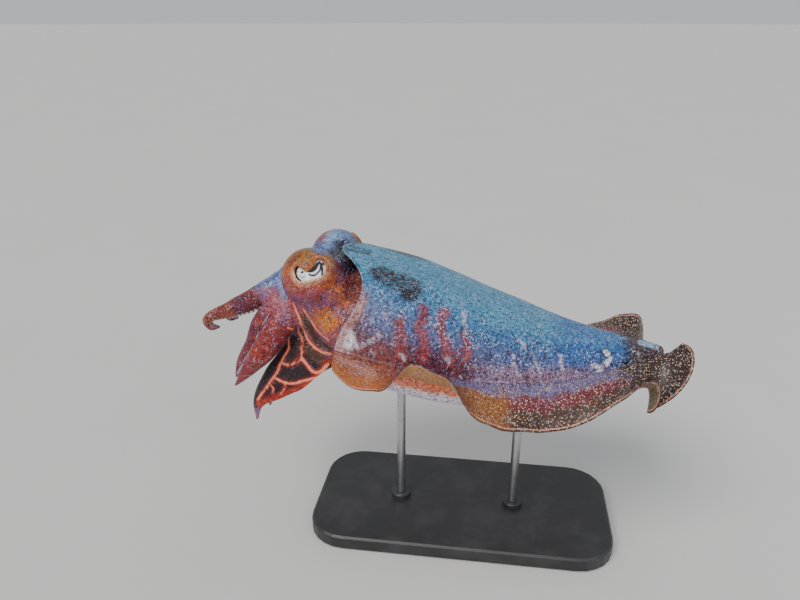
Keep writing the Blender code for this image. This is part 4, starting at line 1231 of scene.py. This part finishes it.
def paint_leaf(paint, lie, lumps, ink, lines, specks):
    """The broad lowest arm: black cells between pale lines, with a speckled red margin and a mauve tip."""
    place = lie.head
    flat = place * LEAF_DEPTH
    outside = (place[:, 1] < -9.0) & (lie.on_head | lie.on_arm)
    leaf = (lie.arm == 3) & (lie.arm_share > 0.12)
    outer = leaf & (np.sin(lie.arm_angle) < 0.35)
    wash = paint.within(outer)
    wash((48, 18, 30))
    wash((82, 54, 36), fade(place[:, 0], 46.0, 60.0))
    for cell in OLIVE_CELLS:
        reach = near_line(flat, [np.multiply(p, LEAF_DEPTH) for p in cell])
        wash((86, 56, 34), fade(reach + 0.8 * lumps[2], 3.0, 5.5), outside)
    margin = stroke(place, smooth_line(LEAF_MARGIN), 4.5, 9.0, 1.5 * lumps[2])
    wash((168, 66, 48), margin)
    wash((224, 106, 66), margin * ramp(lumps[2] + 0.5 * lumps[1], 0.0, 0.4) * 0.85)
    wash((156, 116, 146), stroke(place, [LEAF_TIP], 4.0, 10.0, lumps[2]))
    drawn = np.full(len(place), 9.0)
    for line, width in LEAF_LINES:
        line = [np.multiply(p, LEAF_DEPTH) for p in line]
        reach = near_line(flat, smooth_line(line)) - width + 0.3 * lumps[2]
        drawn = np.minimum(drawn, np.where(outside, reach, 9.0))
    closer = drawn < lines
    lines[:] = np.minimum(lines, drawn)
    ink[closer] = shade(246, 158, 132)
    wash((186, 70, 46), fade(drawn, 0.2, 1.5) * 0.85, outside)
    specks[leaf] = 0.15


def paint_skin(skin, samples):
    """Colours, pale lines and the amount of specks and dots at each point of the skin."""
    mesh = skin.data
    places = points_of(mesh)
    lie = Lie(places, samples)
    count = len(places)
    lumps = [grain_field(places, size, seed) * LUMP_STRENGTH for seed, size in enumerate(LUMP_SIZES)]
    paint = Paint(count, (150, 96, 92))
    ink = np.tile(shade(225, 170, 160), (count, 1))
    lines = np.full(count, NO_LINE)
    specks, dots = np.full(count, 0.3), np.zeros(count)
    paint_mantle(paint, lie, lumps, specks)
    paint_fins(paint, lie, lumps, ink, lines, specks, dots)
    paint_head(paint, lie, lumps, specks)
    paint_arms(paint, lie, lumps, ink, lines, specks)
    flank = (lie.sheet > 0) & (lie.share > 0)
    ribs = band(np.abs(lie.across), 0.55, 1.05, 0.15) * band(lie.share, 0.06, 0.86, 0.08)
    give_skin(mesh, paint.colour, ink, lines=lines, specks=specks, dots=dots, ribs=np.where(flank, ribs, 0.0))


class Number:
    """A value inside a material, so that its sums are written as sums."""

    def __init__(self, material, socket):
        self.material, self.socket = material, socket

    def math(self, operation, other):
        return self.material.node("ShaderNodeMath", {"operation": operation}, {0: self, 1: other})

    def __add__(self, other):
        return self.math("ADD", other)

    def __sub__(self, other):
        return self.math("SUBTRACT", other)

    def __mul__(self, other):
        return self.math("MULTIPLY", other)

    def ramp(self, start, end):
        """0 at start and 1 at end, smooth between them."""
        links = {"Value": self, "From Min": start, "From Max": end}
        return self.material.node("ShaderNodeMapRange", {"interpolation_type": "SMOOTHSTEP"}, links)


class Finish:
    """A material built from nodes."""

    def __init__(self, name):
        self.material = bpy.data.materials.new(name)
        self.material.use_nodes = True
        self.tree = self.material.node_tree
        self.shader = self.tree.nodes["Principled BSDF"]

    def node(self, kind, settings=None, links=None, output=0):
        made = self.tree.nodes.new(kind)
        for name, value in (settings or {}).items():
            setattr(made, name, value)
        for name, value in (links or {}).items():
            self.put(made.inputs[name], value)
        return Number(self, made.outputs[output])

    def put(self, socket, value):
        if isinstance(value, Number):
            self.tree.links.new(value.socket, socket)
        else:
            socket.default_value = value

    def set(self, **values):
        for name, value in values.items():
            self.put(self.shader.inputs[name.replace("_", " ")], value)

    def attribute(self, name, colour=False):
        return self.node("ShaderNodeAttribute", {"attribute_name": name}, output="Color" if colour else "Fac")

    def place(self):
        """Object coordinates in millimetres."""
        object_place = self.node("ShaderNodeTexCoord", output="Object")
        return self.node("ShaderNodeVectorMath", {"operation": "SCALE"}, {0: object_place, "Scale": TO_MM})

    def grain(self, place, scale, detail=3.0, rough=0.6):
        links = {"Vector": place, "Scale": scale, "Detail": detail, "Roughness": rough}
        return self.node("ShaderNodeTexNoise", {}, links)

    def cells(self, place, scale, random=1.0):
        links = {"Vector": place, "Scale": scale, "Randomness": random}
        return self.node("ShaderNodeTexVoronoi", {}, links, "Distance")

    def mix(self, first, second, factor, blend="MIX"):
        settings = {"data_type": "RGBA", "blend_type": blend}
        return self.node("ShaderNodeMix", settings, {0: factor, 6: first, 7: second}, 2)

    def bump(self, height, strength, distance):
        return self.node("ShaderNodeBump", {}, {"Height": height, "Strength": strength, "Distance": distance})


def opaque(red, green, blue):
    return (*shade(red, green, blue), 1.0)


def skin_finish():
    """Moist skin: the laid colours with dark pigment grain, painted shade in the furrows of the flank's ribs,
    pale flecks, fin dots and pale lines.
    """
    skin = Finish("moist_skin")
    place = skin.place()
    colour = skin.attribute("paint", colour=True)
    patches = skin.grain(place, 0.13, 3.0, 0.6)
    lumps = skin.grain(place, 0.34, 3.0, 0.6)
    grain = skin.grain(place, 0.74, 2.0, 0.65)
    shifted = skin.node("ShaderNodeMapping", {}, {"Vector": place, "Location": (31.0, 17.0, 5.0)})
    other = skin.grain(shifted, 0.58, 2.0, 0.65)
    long_way = skin.node("ShaderNodeMapping", {}, {"Vector": place, "Scale": (0.40, 0.09, 0.09)})
    folds = skin.grain(long_way, 1.0, 2.0, 0.5)
    ribs = skin.attribute("ribs")
    specks = skin.attribute("specks")
    dark = (grain.ramp(0.54, 0.38) * 0.95 + lumps.ramp(0.51, 0.36) * 0.70) * (specks * 0.6 + 0.4)
    colour = skin.mix(colour, (0.22, 0.18, 0.27, 1.0), dark, "MULTIPLY")
    # Painted shade in the furrows between the flank's ribs, where their bump is low.
    colour = skin.mix(colour, (0.45, 0.36, 0.42, 1.0), folds.ramp(0.50, 0.38) * ribs * 0.7, "MULTIPLY")
    flecks = other.ramp(0.545, 0.64) * specks * (patches.ramp(0.38, 0.60) * 0.75 + 0.25)
    colour = skin.mix(colour, opaque(184, 202, 236), flecks * 0.75)
    flake = skin.cells(place, 0.50)
    flakes = flake.ramp(0.27, 0.18) * specks * patches.ramp(0.44, 0.62)
    colour = skin.mix(colour, opaque(226, 228, 240), flakes * 0.8)
    fin_dot = skin.cells(place, 0.62, 0.9)
    colour = skin.mix(colour, opaque(226, 196, 168), fin_dot.ramp(0.31, 0.20) * skin.attribute("dots"))
    lines = skin.attribute("lines") + (grain - 0.5) * 1.3
    colour = skin.mix(colour, skin.attribute("ink", colour=True), lines.ramp(0.3, -0.2))
    height = lumps * 0.9 + grain * 0.5 + flake.ramp(0.6, 0.1) * 0.25 + folds * ribs * 1.2
    skin.set(Base_Color=colour, Roughness=grain * 0.25 + 0.32, Normal=skin.bump(height, 0.5, 0.0007))
    skin.set(Coat_Weight=0.10, Coat_Roughness=0.25, Specular_IOR_Level=0.35)
    return skin.material


def eye_finish():
    """A white iris with the dark drooping folds of the pupil, the first also painted shadow under the upper
    lid, wet all over.
    """
    eye = Finish("wet_eye")
    place = eye.place()
    cloud = eye.grain(place, 0.5, 3.0)
    white = eye.mix(opaque(252, 248, 252), opaque(214, 200, 220), cloud.ramp(0.46, 0.66))
    white = eye.mix(white, opaque(238, 196, 190), eye.attribute("flush"))
    grey = eye.attribute("grey_lines").ramp(0.25, -0.15)
    white = eye.mix(white, opaque(120, 104, 124), grey * 0.8)
    dark = (eye.attribute("pupil") + (cloud - 0.5) * 0.3).ramp(0.22, -0.18)
    eye.set(Base_Color=eye.mix(white, opaque(34, 26, 36), dark), Roughness=0.16)
    eye.set(Coat_Weight=1.0, Coat_Roughness=0.04)
    return eye.material


def sucker_finish():
    cup = Finish("sucker_cups")
    place = cup.place()
    cloud = cup.grain(place, 0.8, 3.0)
    flesh = cup.mix(opaque(226, 204, 192), opaque(190, 138, 128), cloud.ramp(0.40, 0.65))
    # Painted shade inside the cups, darker the deeper each ring lies.
    flesh = cup.mix(flesh, opaque(118, 72, 70), cup.attribute("depth"))
    cup.set(Base_Color=flesh, Roughness=0.35, Coat_Weight=0.2, Normal=cup.bump(cloud, 0.3, 0.0002))
    return cup.material


def base_finish():
    """Satin black powder coat, a little uneven."""
    base = Finish("satin_black")
    place = base.place()
    grain = base.grain(place, 2.2, 2.0)
    wear = base.grain(place, 0.05, 4.0)
    colour = base.mix((0.018, 0.018, 0.019, 1.0), (0.034, 0.034, 0.036, 1.0), wear.ramp(0.4, 0.7))
    base.set(Base_Color=colour, Roughness=wear * 0.2 + 0.32, Normal=base.bump(grain, 0.25, 0.0002))
    return base.material


def rod_finish():
    rod = Finish("brushed_rod")
    place = rod.place()
    round_way = rod.node("ShaderNodeMapping", {}, {"Vector": place, "Scale": (0.15, 0.15, 6.0)})
    scratch = rod.grain(round_way, 1.0, 4.0)
    colour = rod.mix((0.42, 0.42, 0.43, 1.0), (0.62, 0.62, 0.63, 1.0), scratch.ramp(0.35, 0.65))
    rod.set(Base_Color=colour, Metallic=1.0, Roughness=scratch * 0.25 + 0.18)
    rod.set(Normal=rod.bump(scratch, 0.1, 0.0001))
    return rod.material


def floor_finish():
    floor = Finish("pale_floor")
    place = floor.place()
    cloud = floor.grain(place, 0.004, 3.0)
    floor.set(Base_Color=floor.mix((0.60, 0.60, 0.59, 1.0), (0.64, 0.64, 0.63, 1.0), cloud), Roughness=0.85)
    return floor.material


def make_floor():
    bpy.ops.object.select_all(action="DESELECT")
    bpy.ops.mesh.primitive_circle_add(vertices=96, radius=FLOOR_RADIUS, fill_type="NGON")
    floor = bpy.context.active_object
    floor.name = "floor"
    return floor


def add_light(name, place, target, size, power, colour):
    light = bpy.data.lights.new(name, "AREA")
    light.shape = "DISK"
    light.size = size
    light.energy = power
    light.color = colour
    lamp = new_object(name, light)
    lamp.location = place
    lamp.rotation_euler = (Vector(target) - Vector(place)).to_track_quat("-Z", "Y").to_euler()


def add_sun(name, towards, strength, spread_degrees, colour):
    """Soft light from one side, as even over the floor as over the model."""
    light = bpy.data.lights.new(name, "SUN")
    light.energy = strength
    light.angle = math.radians(spread_degrees)
    light.color = colour
    lamp = new_object(name, light)
    lamp.rotation_euler = Vector(towards).to_track_quat("Z", "Y").to_euler()


def make_camera():
    camera = bpy.data.cameras.new("camera")
    camera.lens = CAMERA_LENS
    camera.sensor_width = CAMERA_SENSOR
    camera.clip_start = 0.01
    eye = new_object("camera", camera)
    eye.location = CAMERA_PLACE
    eye.rotation_euler = Vector(CAMERA_LOOK).to_track_quat("-Z", "Y").to_euler()
    bpy.context.scene.camera = eye


def dress():
    skin, samples = make_skin()
    skin.name = "skin"
    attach(skin, "root")
    flesh = [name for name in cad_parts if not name.startswith(("stand_", "eye_"))]
    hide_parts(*flesh)
    skin.data.shade_smooth()
    paint_skin(skin, samples)
    moist = skin_finish()
    skin.data.materials.clear()
    skin.data.materials.append(moist)
    wet_eye = eye_finish()
    suckers = join_suckers()
    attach(suckers, "root")
    suckers.data.shade_smooth()
    suckers.data.materials.append(sucker_finish())
    for side in (-1, 1):
        word = SIDE_WORDS[side]
        eye = eyeball("eyeball_" + word, side)
        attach(eye, "root")
        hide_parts("eye_" + word)
        eye.data.shade_smooth()
        mark_eye(eye, side)
        eye.data.materials.append(wet_eye)
        lids = make_lids(side)
        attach(lids, "root")
        lids.data.shade_smooth()
        paint_lids(lids, side)
        lids.data.materials.append(moist)
    finishes = {
        "stand_base": base_finish(),
        "stand_rod_front": rod_finish(),
        "stand_rod_rear": rod_finish(),
    }
    for name, finish in finishes.items():
        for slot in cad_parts[name].material_slots:
            slot.material = finish


dress()
floor = make_floor()
floor.data.materials.append(floor_finish())
add_sun("key", (-0.45, -0.75, 1.0), 2.15, 35, (1.0, 0.98, 0.95))
add_sun("low", (-0.15, -1.0, 0.06), 0.7, 25, (1.0, 0.98, 0.96))
add_light("fill", (1.2, -1.0, 0.9), (0, 0, 0.15), 1.4, 5, (0.92, 0.96, 1.0))
world = bpy.data.worlds.new("studio")
bpy.context.scene.world = world
world.use_nodes = True
world.node_tree.nodes["Background"].inputs["Color"].default_value = WORLD_COLOUR
world.node_tree.nodes["Background"].inputs["Strength"].default_value = WORLD_STRENGTH
make_camera()
